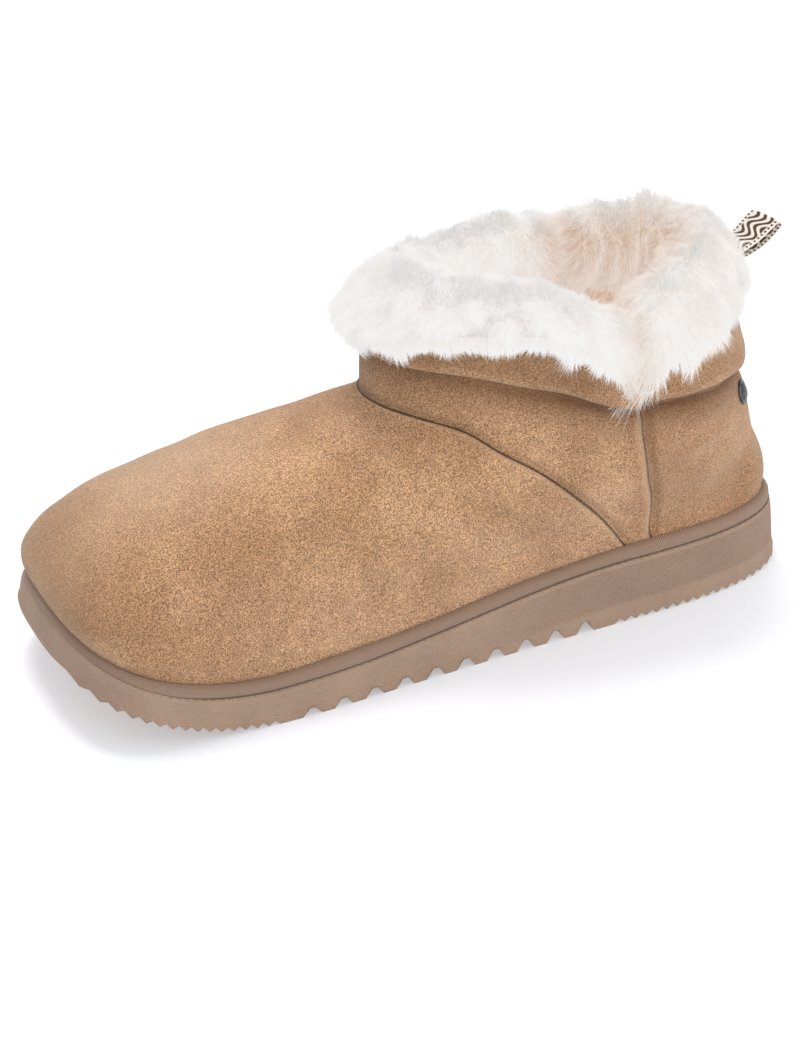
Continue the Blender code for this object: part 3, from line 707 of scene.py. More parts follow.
def seam_line(rows, key, other, extra):
    """A seam in side view as a fine run of points, with an extra last point beyond it."""
    keys = np.linspace(rows[1][rows[0].index(key)], rows[-1][rows[0].index(key)], 240)
    values = read(rows, other, keys)
    along, up = (keys, values) if key == "along" else (values, keys)
    line = np.stack([HEEL_X - along * SOLE_LENGTH, up * INSTEP_HEIGHT], axis=-1)
    return np.concatenate([line, [extra]])


def signed_distance(points, normal, line, start):
    """Distance in the surface from a line drawn in side view; positive towards the toe."""
    line = np.concatenate([[start], line])
    flat = points[..., [0, 2]].reshape(-1, 2)
    best = np.full(len(flat), 1.0)
    nearest = np.zeros((len(flat), 2))
    sign = np.ones(len(flat))
    for a, b in zip(line, line[1:]):
        t = np.clip(((flat - a) @ (b - a)) / max((b - a) @ (b - a), 1e-12), 0, 1)
        gap = flat - (a + t[:, None] * (b - a))
        distance = np.linalg.norm(gap, axis=1)
        closer = distance < best
        cross = (b - a)[0] * gap[:, 1] - (b - a)[1] * gap[:, 0]
        best = np.where(closer, distance, best)
        sign = np.where(closer, np.sign(cross), sign)
        nearest = np.where(closer[:, None], gap, nearest)
    direction = nearest / np.maximum(best, 1e-9)[:, None]
    n = normal.reshape(-1, 3)
    facing = direction[:, 0] * n[:, 0] + direction[:, 1] * n[:, 2]
    stretch = np.sqrt(np.clip(1 - facing ** 2, 0.12, 1))
    return (sign * best / stretch).reshape(points.shape[:2])


vamp_line = seam_line(VAMP_SEAM, "along", "up", (-0.15, 0.150))
side_line = seam_line(SIDE_SEAM, "up", "along", (HEEL_X - 0.262 * SOLE_LENGTH, 0.20))
to_vamp = signed_distance(skin, normals, vamp_line, (vamp_line[0][0] + 0.004, -0.01))
to_quarter = signed_distance(skin, normals, side_line, (side_line[0][0], -0.01))
print("seam distances reach, mm:", [round(float(gap.max()) / MM, 1) for gap in (to_vamp, to_quarter)])

# %% [markdown]
# Suede over plush never lies flat. Its panel edges roll, the ankle folds where the foot bends,
# and the vamp has a few broad, shallow waves. Each wave here is placed one by one: where it is seen
# from the side, which way it runs, how long, wide and high it is. A wave with a minus is a trough.

# %% Panels, creases and waves
WAVES = [
    # x, z, slope in degrees, half length, half width, height, side (-1 lateral, 1 medial, 0 both)
    (0.004, 0.063, -24, 0.016, 0.0040, -0.0007, -1),
    (-0.002, 0.075, -16, 0.014, 0.0034, -0.0008, -1),
    (0.020, 0.060, -28, 0.015, 0.0036, 0.0006, -1),
    (0.022, 0.050, -34, 0.012, 0.0032, -0.0005, -1),
    (-0.030, 0.072, -38, 0.020, 0.0060, -0.0006, 0),
    (-0.046, 0.060, -42, 0.022, 0.0070, 0.0005, 0),
    (-0.064, 0.050, -40, 0.018, 0.0060, -0.0005, 0),
    (-0.094, 0.043, -30, 0.020, 0.0080, 0.0005, 0),
    (0.020, 0.038, -8, 0.022, 0.0050, -0.0006, -1),
    (-0.030, 0.036, -4, 0.030, 0.0070, -0.0006, 0),
    (0.098, 0.060, 12, 0.016, 0.0040, -0.0008, -1),
    (0.106, 0.050, 20, 0.018, 0.0050, 0.0006, -1),
    (0.090, 0.044, -10, 0.016, 0.0040, -0.0005, -1),
    (0.102, 0.072, 24, 0.012, 0.0030, -0.0007, 0),
    (0.010, 0.060, 20, 0.016, 0.0040, -0.0007, 1),
    (-0.008, 0.072, 14, 0.014, 0.0036, 0.0006, 1),
    (0.060, 0.048, -12, 0.018, 0.0050, -0.0006, 1),
]


def smooth_step(value, low, high):
    t = np.clip((value - low) / (high - low), 0, 1)
    return t * t * (3 - 2 * t)


def hump(value, middle, width):
    return np.exp(-((value - middle) / width) ** 2)


rows_up = np.arange(skin.shape[0])[:, None]
above_crease = rows_up - CREASE_ROW
on_panels = smooth_step(rows_up, 1, 6) * (1 - smooth_step(above_crease, 4, 12))
in_vamp = smooth_step(to_vamp, -0.0006, 0.0006)
in_quarter = smooth_step(to_quarter, -0.0012, 0.0012)
VAMP_ROLL, VAMP_GROOVE = 0.00035, 0.00075
QUARTER_ROLL, QUARTER_GROOVE = 0.0009, 0.0011
move = STEP * in_quarter * (1 - in_vamp) + 2 * STEP * in_vamp
move += VAMP_ROLL * hump(to_vamp, 0.0014, 0.0012)
move -= VAMP_GROOVE * hump(to_vamp, -0.0011, 0.0011) * (to_vamp < 0.0004)
move += QUARTER_ROLL * hump(to_quarter, 0.0022, 0.0020) * (1 - in_vamp)
move -= QUARTER_GROOVE * hump(to_quarter, -0.0020, 0.0018) * (1 - in_vamp)
move *= on_panels
WAVE_BOW = 6
for x, z, slope, half_length, half_width, height, which in WAVES:
    cosine, sine = math.cos(math.radians(slope)), math.sin(math.radians(slope))
    ahead, above = skin[..., 0] - x, skin[..., 2] - z
    along = ahead * cosine + above * sine
    across = above * cosine - ahead * sine - along ** 2 * WAVE_BOW
    on_side = 1.0 if which == 0 else (upper_side == which)[None, :]
    move += height * hump(along, 0, half_length) * hump(across, 0, half_width) * on_side
front_share = smooth_step(upper_share, 0.45, 0.85)[None, :]
rear_share = smooth_step(upper_share, 0.40, 0.10)[None, :]
# Painted shadow of the plush hem on the suede just below it, stronger towards the front
hem_shadow_share = 0.10 + 0.55 * smooth_step(upper_share, 0.36, 0.56)[None, :]
crease_soft = 3.2 - 1.4 * rear_share
# fold_shade is painted shade: dark in the ankle crease and softer below it, plus the painted shadow under the
# plush hem
fold_shade = hump(above_crease, 0, crease_soft) + 0.50 * hump(above_crease, -4, 4.5)
fold_shade = np.clip(fold_shade, 0, 1) * (1 - 0.2 * front_share)
fold_shade = fold_shade + hem_shadow_share * smooth_step(above_crease, 3.5, 8)
CREASE_DEPTH, ROLL_ABOVE, ROLL_BELOW = 0.0017, 0.0024, 0.0007
move -= CREASE_DEPTH * hump(above_crease, 0, crease_soft * 0.8)
move += ROLL_ABOVE * (1 - 0.5 * rear_share) * hump(above_crease, 5.0, 3.2)
move += ROLL_BELOW * (1 - front_share) * hump(above_crease, -5.0, 3.2)
x, y, z = np.moveaxis(skin, -1, 0)
lumps = np.sin(x * 131 + z * 57) * np.sin(y * 143 + x * 35 + 1.0)
lumps += np.sin(z * 211 + x * 83 + 2.0) * np.sin(x * 167 + y * 91)
lumps += 0.5 * np.sin(x * 331 + y * 217) * np.sin(z * 359 + 0.7)
LUMP_HEIGHT, RESTS_ON_RAND = 0.00022, 0.0008
move += LUMP_HEIGHT * lumps * smooth_step(rows_up, 2, 12)
move += RESTS_ON_RAND * hump(rows_up, 1.8, 1.3) * (rows_up > 0)
suede_skin = skin + normals * move[..., None]

INNER_ROWS = np.unique(np.linspace(0, skin.shape[0] - 1, 15).astype(int))[::-1]
inside = (skin - normals * WALL)[INNER_ROWS]
inside[-1, :, 2] = skin[0, :, 2]
all_rows = np.concatenate([np.arange(skin.shape[0]), INNER_ROWS, [0]])
shell = np.concatenate([suede_skin, inside, suede_skin[:1]])
on_skin = {"to_vamp": to_vamp, "to_quarter": to_quarter, "fold_shade": fold_shade}
upper = grid_piece("suede_upper", shell, {key: array[all_rows] for key, array in on_skin.items()})

# %% [markdown]
# Suede is the buffed inner side of a hide. Its nap lies in patches, some brushed light, some
# dark, with a fine grain of about half a millimetre in it. The seams are drawn here as dark
# lines about a millimetre wide with soft edges, from the stored distances. Light and shade are
# painted in too: painted shade on the recessed panel beside each seam and painted highlights on
# the rolled edges, a painted highlight on the top of the vamp, painted shade on the end of the
# toe, and painted shade in the folds and under the plush hem where the surface stored it. Thin
# layers of colour lie over the nap in the order of the list.

# %% Suede
# A painted highlight: a pale patch on the top of the vamp near the toe, centred here
PAINTED_HIGHLIGHT_AT = (-0.086, 0.010, 0.060)
DARK_NAP, LIGHT_NAP = 0.47, 1.48
SOFT_EDGE = 0.35
suede, tree = new_material("brushed_cow_suede", 0.95, Specular_IOR_Level=0.18, Sheen_Weight=0.48,
                           Sheen_Roughness=0.45, Sheen_Tint=linear("F5E6D6"))
where = place_in(tree)
vamp_gap, quarter_gap = stored(tree, "to_vamp"), stored(tree, "to_quarter")
grain, coarse = noise(where, 1950, 3, 0.7), noise(where, 900, 3, 0.6)
brushed = noise(where, 95, 4, 0.65)
place_x = add(tree, "ShaderNodeSeparateXYZ", {0: where}).outputs[0]
from_painted_highlight = add(tree, "ShaderNodeVectorMath", {0: where, 1: PAINTED_HIGHLIGHT_AT}, operation="DISTANCE")
heel_side = times(spread(quarter_gap, 0.001, -0.002), spread(vamp_gap, 0.001, -0.001))
behind_vamp = spread(vamp_gap, 0.0004, -0.0004)


def seam_mask(gap, centre, half_width):
    """1 on a thin line at a given distance from a seam, with soft edges."""
    off = arithmetic("ABSOLUTE", minus(gap, centre))
    return spread(off, half_width, half_width * SOFT_EDGE)


def side_seam_mask(gap, centre, half_width):
    """The same for the seam that ends at the vamp."""
    return times(seam_mask(gap, centre, half_width), behind_vamp)


frayed = times(minus(noise(where, 900, 2), 0.5), 0.0005)
vamp_mask = seam_mask(plus(vamp_gap, frayed), -0.0001, 0.00054)
side_mask = side_seam_mask(plus(quarter_gap, times(frayed, 2.2)), -0.0006, 0.0008)
tone = mix(spread(noise(where, 30, 4, 0.6), 0.36, 0.65), "AF8762", "C69D77")
tone = layered(tone, [
    (spread(noise(where, 21, 2), 0.45, 0.70), 0.30, "B0866A"),
    (spread(brushed, 0.52, 0.74), 0.26, "93704F"),
])
tone = mix(spread(grain, 0.405, 0.595), scaled(tone, DARK_NAP), scaled(tone, LIGHT_NAP))
tone = layered(tone, [
    (spread(coarse, 0.60, 0.42), 0.16, "8A6648"),
    (heel_side, 0.18, "8E6443"),
    # Painted highlight: the pale patch on the top of the vamp, where light falls
    (spread(from_painted_highlight.outputs["Value"], 0.050, 0.008), 0.30, "DCC2AA"),
    # Painted shade: the end of the toe is painted darker, as it faces away from the light
    (spread(place_x, -0.108, -0.138), 0.30, "8E6A4A"),
    # Painted shade on the recessed panel beside each seam, then painted highlights on the rolled edge of the
    # panel that stands proud
    (seam_mask(vamp_gap, -0.0012, 0.0030), 0.28, "6E4C33"),
    (side_seam_mask(quarter_gap, -0.0024, 0.0044), 0.22, "65452E"),
    (seam_mask(vamp_gap, 0.0010, 0.0014), 0.30, "D3AD86"),
    (side_seam_mask(quarter_gap, 0.0016, 0.0022), 0.30, "D0A880"),
    (vamp_mask, 0.85, "3A2618"),
    (side_mask, 0.75, "402A1B"),
    # Painted shade in the folds and painted shadow under the plush hem
    (stored(tree, "fold_shade"), 0.80, "5E3F29"),
])
height = plus(plus(times(grain, 1.2), times(coarse, 0.3)), times(brushed, 0.6))
height = minus(minus(height, times(vamp_mask, 1.2)), times(side_mask, 1.4))
coat(tree, tone, height, 0.8, 0.0006)
dress(upper, suede, "upper")

# %% [markdown]
# Inside, a plush lining runs down the wall and over the insole. Only a strip of it shows from
# above. It is a closed sheet 3 mm thick that follows the inner wall, and the insole is a plain
# cushion on the sole.

# %% Lining and insole
LINING, CLEAR_OF_SUEDE = 0.0030, 0.0006
INSOLE_THICK, ABOVE_SOLE = 0.004, 0.0048
lining_rows = np.unique(np.linspace(1, CREASE_ROW + 2 * SPAN, 26).astype(int))
outer_sheet = (skin - normals * (WALL + CLEAR_OF_SUEDE))[lining_rows][:, ::2]
inner_sheet = (skin - normals * (WALL + LINING))[lining_rows][:, ::2]
for sheet in (outer_sheet, inner_sheet):
    sheet[..., 2] = np.maximum(sheet[..., 2], sole_top(along_at(sheet[..., 0])) + ABOVE_SOLE)
sheet_points = np.concatenate([outer_sheet, inner_sheet[::-1], outer_sheet[:1]])
# Painted shade: the lining takes the darker, peach inner tone of the plush
lining = grid_piece("plush_lining", sheet_points, {"warm": 1.0})

insole_inset = RAND_INSET + RAND_WIDTH + 2 * GAP + WALL
insole_share, insole_side = once_round(even_turn(120))
insole_rings = []
for extra, up in ((0.0, 0.0), (0.0, 0.6), (0.0008, 0.9), (0.0025, 1.0), (0.0080, 1.0)):
    x, y = sole_edge(insole_share, insole_side, insole_inset + extra)
    insole_rings.append(np.stack([x, y, sole_top(along_at(x)) + GAP + up * INSOLE_THICK], axis=-1))
# Painted shade: the insole takes the darker, peach inner tone as well
insole = grid_piece("plush_insole", np.array(insole_rings), {"warm": 1.0}, caps=True)

# %% [markdown]
# Plush is a knitted pile: dense, fine polyester hairs, white at the tips and creamy at the
# roots. Inside the shoe it is painted darker and peach: painted shade, tinted for the light that
# passes through the pile there. Both materials are made to glow in their own tone, a painted
# light standing in for the light that scatters in the pile, and lamps add only a part. The hairs
# take most of their shading from the direction of the ground they stand on, so the pile reads as
# one soft body.


# %% Plush
LIT_SHARE, ROOT_SHARE = 0.22, 0.82
TURNED_UP = (0.0, -0.15, 0.60)


def painted_glow(tree, tone):
    """Paints light into a pile: lets it glow in its own tone, though it is no lamp, and returns the part that
    lamps light.
    """
    wire(tree, tone, "Emission Color")
    return scaled(tone, LIT_SHARE)


# Painted light: the hairs glow in their own tone through the emission, though they are no lamp
plush, tree = new_material("polyester_plush", 1.0, Specular_IOR_Level=0.1, Emission_Strength=0.70)
tip = stored(tree, "tip")
outside = mix(spread(tip, 0.0, 0.75), "F8F4F0", "FBFBFA")
# Painted shade: inside the shoe the hairs are painted darker and peach
inside_tone = mix(spread(tip, 0.0, 0.9), "DEC7B7", "F5E6DC")
tone = mix(stored(tree, "warm"), outside, inside_tone)
tone = layered(tone, [(spread(noise(place_in(tree), 120, 3), 0.55, 0.75), 0.12, "F0DECD")])
wire(tree, painted_glow(tree, tone), "Base Color")
true_normal = add(tree, "ShaderNodeNewGeometry").outputs["Normal"]
both_normals = {0: ROOT_SHARE, 4: true_normal, 5: stored(tree, "root_normal", "Vector")}
blend = add(tree, "ShaderNodeMix", both_normals, data_type="VECTOR").outputs[1]
wire(tree, vectors("NORMALIZE", vectors("ADD", blend, TURNED_UP)), "Normal")

# Painted light: the plush ground glows in its own tone as well
ground, tree = new_material("knitted_plush_ground", 1.0, Specular_IOR_Level=0.1, Emission_Strength=0.72)
tufts = noise(place_in(tree), 420, 4, 0.7)
on_tufts = spread(tufts, 0.3, 0.7)
outside = mix(on_tufts, "F4EDE6", "FBFAF8")
# Painted shade: the inner tone of the ground, darker and peach
inside_tone = mix(on_tufts, "D0B29B", "EAD4C3")
tone = mix(stored(tree, "warm"), outside, inside_tone)
coat(tree, painted_glow(tree, tone), tufts, 0.8, 0.0012)
dress(lining, ground)
dress(insole, ground, "insole")

# %% [markdown]
# The plush collar is turned down over the suede rim in two parts that meet at a notch on each
# side. Its body is drawn from the same section as the solid cuff, a little smaller, so the hairs
# reach about as far as the solid does. The body stores where hairs grow, how long they are and
# which way they are combed: from the crest outwards and down, and inwards on the far side.

# %% Cuff bodies
# Fullness of the plush beyond the rim, then how much of it is body and not hair
PLUSH_OUT, PLUSH_UP, PLUSH_IN = 0.0105, 0.0155, 0.0125
BODY_OUT, BODY_UP = 0.66, 0.70
NOTCH_TURN = 13 / 60
CUFF = [
    ("along", "out", "up", "inner", "lean", "hem"),
    (0.00, 0.92, 1.35, 1.10, 1.05, 0.30),
    (0.20, 0.90, 1.15, 1.05, 0.70, 0.55),
    (0.41, 0.90, 0.85, 0.90, 0.30, 0.90),
    (0.62, 1.00, 0.95, 0.95, 0.30, 0.90),
    (0.82, 1.15, 0.85, 0.95, 0.30, 0.92),
    (1.00, 1.30, 0.90, 1.10, 0.30, 0.92),
]
HEM_RAISE = [
    ("along", "raise"),
    (0.00, 0.38),
    (0.12, 0.20),
    (0.25, 0.06),
    (0.37, 0.10),
    (0.46, 0.28),
    (0.62, 0.30),
    (0.85, 0.10),
    (1.00, 0.00),
]
INNER_FULL = [("along", "scale"), (0.0, 1.0), (0.25, 1.20), (0.38, 1.15), (0.50, 0.85), (1.0, 0.74)]
CREST_SIDE = [
    ("along", "lateral", "medial"),
    (0.00, 1.05, 1.00),
    (0.25, 1.00, 0.86),
    (0.45, 0.72, 0.90),
    (0.75, 0.74, 0.92),
    (1.00, 0.90, 0.95),
]
TURNS = 320
turn = np.arange(TURNS) / TURNS
turn_share = (1 - np.cos(2 * np.pi * turn)) / 2
turn_side = np.where(turn < 0.5, -1.0, 1.0)
rim_rings = np.array([fold_ring(turn_share, turn_side, fold) for fold in FOLDS[-4:]])
rim_normals = grid_normals(rim_rings)
UPWARD = np.array([0.0, 0.0, 1.0])
CLEARANCE, END_ROUND = 0.0006, 0.007
CREST_MARK, PARTING = 5.0, 3.4


def cuff_section(at, share, rim, plump):
    """Points of the plush round the rim, from the outer hem over the crest to the inside."""
    size = {key: read(CUFF, key, share)[:, None] for key in CUFF[0][1:]}
    tuck, high = rim_rings[1, at], rim_rings[2, at]
    n = rim_normals[:, at]
    outward = unit(n[2] * (1, 1, 0))
    outer_hem = tuck + (rim - tuck) * read(HEM_RAISE, "raise", share)[:, None]
    rear = smooth_step(share, 0.30, 0.05)[:, None]
    lateral, medial = read(CREST_SIDE, "lateral", share), read(CREST_SIDE, "medial", share)
    crest_scale = np.where(turn_side[at] < 0, lateral, medial)[:, None]
    out = size["out"] * PLUSH_OUT * BODY_OUT * plump * (1 + 0.25 * rear)
    up = size["up"] * PLUSH_UP * BODY_UP * (2 - plump) * crest_scale
    inner = size["inner"] * PLUSH_IN * read(INNER_FULL, "scale", share)[:, None] * plump
    lean, hem = size["lean"] * PLUSH_IN * (0.8 - 0.35 * rear), size["hem"] * out
    section = [
        outer_hem + n[1] * CLEARANCE,
        outer_hem + outward * hem * 0.60 - UPWARD * 0.0010,
        outer_hem + outward * hem + UPWARD * 0.0025,
        rim + (outer_hem - rim) * 0.50 + outward * (out * 0.6 + hem * 0.5),
        rim + outward * (out * 0.80 - lean * 0.15) + UPWARD * up * 0.30,
        rim + outward * (out * 0.35 - lean * 0.55) + UPWARD * up * 0.82,
        rim - outward * lean + UPWARD * up,
        rim - outward * (lean * 0.6 + WALL + inner * 0.75) + UPWARD * up * 0.55,
        rim - outward * (WALL + inner) - UPWARD * 0.004,
        tuck - outward * (WALL + inner * 0.85),
        tuck - outward * (WALL + inner * 0.40) - UPWARD * 0.006,
        tuck - n[1] * (WALL + CLEARANCE),
    ]
    clear_of_rim = [
        high - n[2] * (WALL + CLEARANCE),
        rim - n[3] * (WALL + CLEARANCE),
        rim - outward * (WALL + CLEARANCE) + UPWARD * 2 * CLEARANCE,
        rim + outward * CLEARANCE + UPWARD * 2 * CLEARANCE,
        high + n[2] * CLEARANCE,
    ]
    smooth = through(section, 4)
    marks = np.concatenate([np.linspace(0, 11, len(smooth)), np.linspace(11.5, 16, len(clear_of_rim))])
    return np.array(smooth + clear_of_rim), marks


def hair_values(points, marks, share, run):
    """Where hairs grow, how long, how warm in tone, partly as painted shade, and which way they are combed.
    """
    from_end = np.minimum(run, run[-1] - run)[None, :]
    to_end = np.where(run < run[-1] / 2, -1.0, 1.0)[None, :, None]
    marks = marks[:, None]
    inner_part = smooth_step(marks, 5.6, 7.2)
    at_hem = hump(marks, 1.0, 1.4)
    hidden = (marks > 10.6) | (marks < 0.15)
    cover = np.where(hidden, 0.0, 1.0) * (1 - 0.45 * inner_part) * np.ones(len(run))
    ragged = 0.5 + 0.5 * np.sin(run * 370 + 1.3) * np.sin(run * 151 + 0.4)
    tuft = 2.5 * hump(from_end, 0, 0.0050) * at_hem
    long = 1 - 0.48 * at_hem + 0.95 * at_hem * ragged ** 3 + tuft - 0.25 * inner_part
    long = long + 0.30 * hump(from_end, 0, 0.008)
    far = smooth_step(share, 0.45, 0.05)[None, :]
    peach_part = 0.06 + 0.94 * smooth_step(share, 0.62, 0.34)[None, :]
    # Painted shade in the warm value: peach and darker on the inner side and along the notch ends where the
    # two parts meet; a little warmer towards the back
    warm = 0.85 * inner_part * peach_part + 0.14 * far + 0.03 + 0.70 * hump(from_end, 0, 0.006)
    tangent, along = unit(np.gradient(points, axis=0)), unit(np.gradient(points, axis=1))
    lie = np.clip((marks - CREST_MARK) / PARTING, -1, 1)[..., None]
    fall = (0.20 + 0.6 * tuft) * (1 - inner_part)
    comb = tangent * lie - UPWARD * fall[..., None]
    comb += along * to_end * 0.8 * hump(from_end, 0, 0.010)[..., None]
    return {"comb": comb, "cover": cover, "long": long, "warm": np.clip(warm, 0, 1)}


def cuff_body(name, first, last):
    """One plush body between two turns, with the values that its hairs need."""
    at = np.arange(round(first * TURNS), round(last * TURNS) + 1) % TURNS
    share, rim = turn_share[at], rim_rings[3, at]
    run = distance_along(rim)
    plump = 1 + 0.07 * np.sin(run * 260 + 1) + 0.05 * np.sin(run * 610 + 2)
    points, marks = cuff_section(at, share, rim, plump[:, None])
    middle = rim * 0.75 + rim_rings[1, at] * 0.25
    from_end = np.minimum(run, run[-1] - run)
    keep = 0.10 + 0.90 * np.sqrt(1 - np.clip(1 - from_end / END_ROUND, 0, 1) ** 2)
    points = middle + (points - middle) * keep[None, :, None]
    values = hair_values(points, marks, share, run)
    values = {key: np.concatenate([array, array[:1]]) for key, array in values.items()}
    body = grid_piece(name, np.concatenate([points, points[:1]]), values, closed_rings=False)
    clean(body.data, [body.data], fill=True)
    body.data.shade_smooth()
    return body


front_body = cuff_body("plush_cuff_front", NOTCH_TURN, 1 - NOTCH_TURN)
back_body = cuff_body("plush_cuff_back", -NOTCH_TURN, NOTCH_TURN)
dress(front_body, ground, "cuff_front")
dress(back_body, ground, "cuff_back")

# %% [markdown]
# Hair is the right job for Geometry Nodes: one short tree scatters roots over the body, grows a
# curve at each, bends it along the stored comb direction, gathers neighbours into locks, and
# turns the curves into flat tapered ribbons. The result is kept as a plain mesh.


# %% Hair tree
def new_tree(name, sockets):
    """A Geometry Nodes tree with inputs of given kinds; returns the tree and its input sockets."""
    tree = bpy.data.node_groups.new(name, "GeometryNodeTree")
    tree.is_modifier = True
    for key, kind in {"Geometry": "Geometry", **sockets, "Material": "Material"}.items():
        tree.interface.new_socket(key, in_out="INPUT", socket_type="NodeSocket" + kind)
    tree.interface.new_socket("Geometry", in_out="OUTPUT", socket_type="NodeSocketGeometry")
    return tree, add(tree, "NodeGroupInput").outputs


def finish_tree(tree, geometry, material):
    """Makes instances real, gives them their material and hands them out of the tree."""
    real = add(tree, "GeometryNodeRealizeInstances", {"Geometry": geometry}).outputs[0]
    coloured = add(tree, "GeometryNodeSetMaterial", {"Geometry": real, "Material": material})
    tree.links.new(coloured.outputs[0], add(tree, "NodeGroupOutput").inputs["Geometry"])


def named(tree, name, kind="FLOAT"):
    return add(tree, "GeometryNodeInputNamedAttribute", {"Name": name}, data_type=kind).outputs[0]


def store(geometry, name, value, kind="FLOAT"):
    inputs = {"Geometry": geometry, "Name": name, "Value": value}
    node = add(tree_of(geometry), "GeometryNodeStoreNamedAttribute", inputs, data_type=kind, domain="POINT")
    return node.outputs[0]


VECTOR = "FLOAT_VECTOR"
HAIR_INPUTS = dict.fromkeys(("Density", "Length", "Width", "Rise", "Gather", "Lock"), "Float")
hair_tree, given = new_tree("plush_hair", {**HAIR_INPUTS, "Seed": "Int"})
tree, seed = hair_tree, given["Seed"]
density = times(given["Density"], named(tree, "cover"))
on_body = {"Mesh": given["Geometry"], "Density": density, "Seed": seed}
scatter = add(tree, "GeometryNodeDistributePointsOnFaces", on_body).outputs
position = add(tree, "GeometryNodeInputPosition").outputs[0]
growth = add(tree, "FunctionNodeRandomValue", {2: 0.72, 3: 1.18, "Seed": seed}, data_type="FLOAT").outputs[1]
any_way = {0: (-1, -1, -1), 1: (1, 1, 1), "Seed": seed}
stray = add(tree, "FunctionNodeRandomValue", any_way, data_type=VECTOR).outputs[0]
roots = store(scatter["Points"], "root_normal", scatter["Normal"], VECTOR)
roots = store(roots, "root", position, VECTOR)
roots = store(roots, "growth", growth)
roots = store(roots, "stray", stray, VECTOR)
line = add(tree, "GeometryNodeCurvePrimitiveLine", {"End": (0, 0, 1)}).outputs[0]
line = add(tree, "GeometryNodeResampleCurve", {"Curve": line, "Count": 3}).outputs[0]
hairs = add(tree, "GeometryNodeInstanceOnPoints", {"Points": roots, "Instance": line}).outputs[0]
hairs = add(tree, "GeometryNodeRealizeInstances", {"Geometry": hairs}).outputs[0]

# Each point of a hair gets its place from the root, by how far along the hair it is
along = add(tree, "GeometryNodeSplineParameter").outputs["Factor"]
square = times(along, along)
root = named(tree, "root", VECTOR)
swirl = add(tree, "ShaderNodeTexNoise", {"Vector": root, "Scale": 110.0, "Detail": 1.0}).outputs["Color"]
swirl = scaled(vectors("SUBTRACT", swirl, (0.5, 0.5, 0.5)), 2.4)
comb = vectors("ADD", named(tree, "comb", VECTOR), swirl)
length = times(given["Length"], times(named(tree, "long"), named(tree, "growth")))
lift = times(times(along, minus(1.0, times(along, 0.42))), given["Rise"])
path = vectors("ADD", scaled(named(tree, "root_normal", VECTOR), lift), scaled(comb, times(square, 0.62)))
path = vectors("ADD", path, scaled(named(tree, "stray", VECTOR), times(square, 0.16)))
cells = add(tree, "ShaderNodeTexVoronoi", {"Vector": root, "Scale": given["Lock"]}).outputs["Position"]
gather = times(given["Gather"], arithmetic("POWER", along, 1.4))
pull = scaled(vectors("SUBTRACT", cells, root), gather)
place = vectors("ADD", root, vectors("ADD", scaled(path, length), pull))
hairs = add(tree, "GeometryNodeSetPosition", {"Geometry": hairs, "Position": place}).outputs[0]
hairs = store(hairs, "tip", along)

# The curves become flat ribbons that taper to their tips
edges = {"Start": scaled((0.5, 0.0, 0.0), given["Width"]), "End": scaled((-0.5, 0.0, 0.0), given["Width"])}
profile = add(tree, "GeometryNodeCurvePrimitiveLine", edges).outputs[0]
taper = spread(along, 0.25, 1.0, 1.0, 0.12, smooth=False)
ribbon = {"Curve": hairs, "Profile Curve": profile, "Scale": taper}
finish_tree(tree, add(tree, "GeometryNodeCurveToMesh", ribbon).outputs[0], given["Material"])


def from_tree(name, base, group, settings):
    """Runs a Geometry Nodes tree on a copy of a piece and keeps the result as a plain mesh."""
    work = put(name, base.data)
    modifier = work.modifiers.new("tree", "NODES")
    modifier.node_group = group
    for item in group.interface.items_tree:
        if item.in_out == "INPUT" and item.name in settings:
            modifier[item.identifier] = settings[item.name]
    graph = bpy.context.evaluated_depsgraph_get()
    mesh = bpy.data.meshes.new_from_object(work.evaluated_get(graph))
    mesh.name = name
    work.modifiers.remove(modifier)
    work.data = mesh
    mesh.shade_smooth()
    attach(work, "root")
    count_triangles(work)


# %% Hair of the cuffs
HAIR = {"Length": 0.0072, "Width": 0.00021, "Rise": 0.90, "Gather": 0.55, "Lock": 420.0, "Material": plush}
FRONT_HAIR, BACK_HAIR = dict(HAIR, Density=4.0e6), dict(HAIR, Density=5.6e6)
from_tree("plush_hair_front_a", front_body, hair_tree, dict(FRONT_HAIR, Seed=1))
from_tree("plush_hair_front_b", front_body, hair_tree, dict(FRONT_HAIR, Seed=2))
from_tree("plush_hair_back", back_body, hair_tree, dict(BACK_HAIR, Seed=3))

# %% [markdown]
# The pull loop is a patterned cotton tape, 12 mm wide, folded double and sewn into the heel. It
# is a thin strip along the fold's side view, with its length and width stored so that the
# material can weave the pattern: brown waves on off-white between two dotted edges.

# %% Pull loop
TAPE_WIDTH, TAPE_THICK, LOOP_REACH = 0.0120, 0.0011, 0.0275
SHOWN_REACH, SHOWN_RISE, SHOWN_WIDTH, SHOWN_THICK = 0.86, 0.90, 0.92, 0.8
LOOP_TURN, LOOP_LEAN = math.radians(-30), 0.16
LOOP_PATH = [
    (0.00, 0.00),
    (0.24, 0.02),
    (0.60, 0.20),
    (0.90, 0.44),
    (0.98, 0.46),
    (1.00, 0.38),
    (0.68, 0.10),
    (0.28, -0.06),
    (0.00, 0.00),
]
rim_at_heel = rim_rings[3, 0] + (-WALL / 2, 0, GAP - 0.0020)
path_points = [np.array([x * SHOWN_REACH, 0, z * SHOWN_RISE]) * LOOP_REACH for x, z in LOOP_PATH]
path_points[0] = path_points[0] - (TAPE_THICK * 0.55, 0, 0)
path_points[-1] = path_points[-1] + (TAPE_THICK * 0.55, 0, 0)
loop_line = np.array(through(path_points, 12))
travel = distance_along(loop_line)
forward = unit(np.gradient(loop_line, axis=0))
face_way = np.stack([-forward[:, 2], np.zeros(len(forward)), forward[:, 0]], axis=-1)
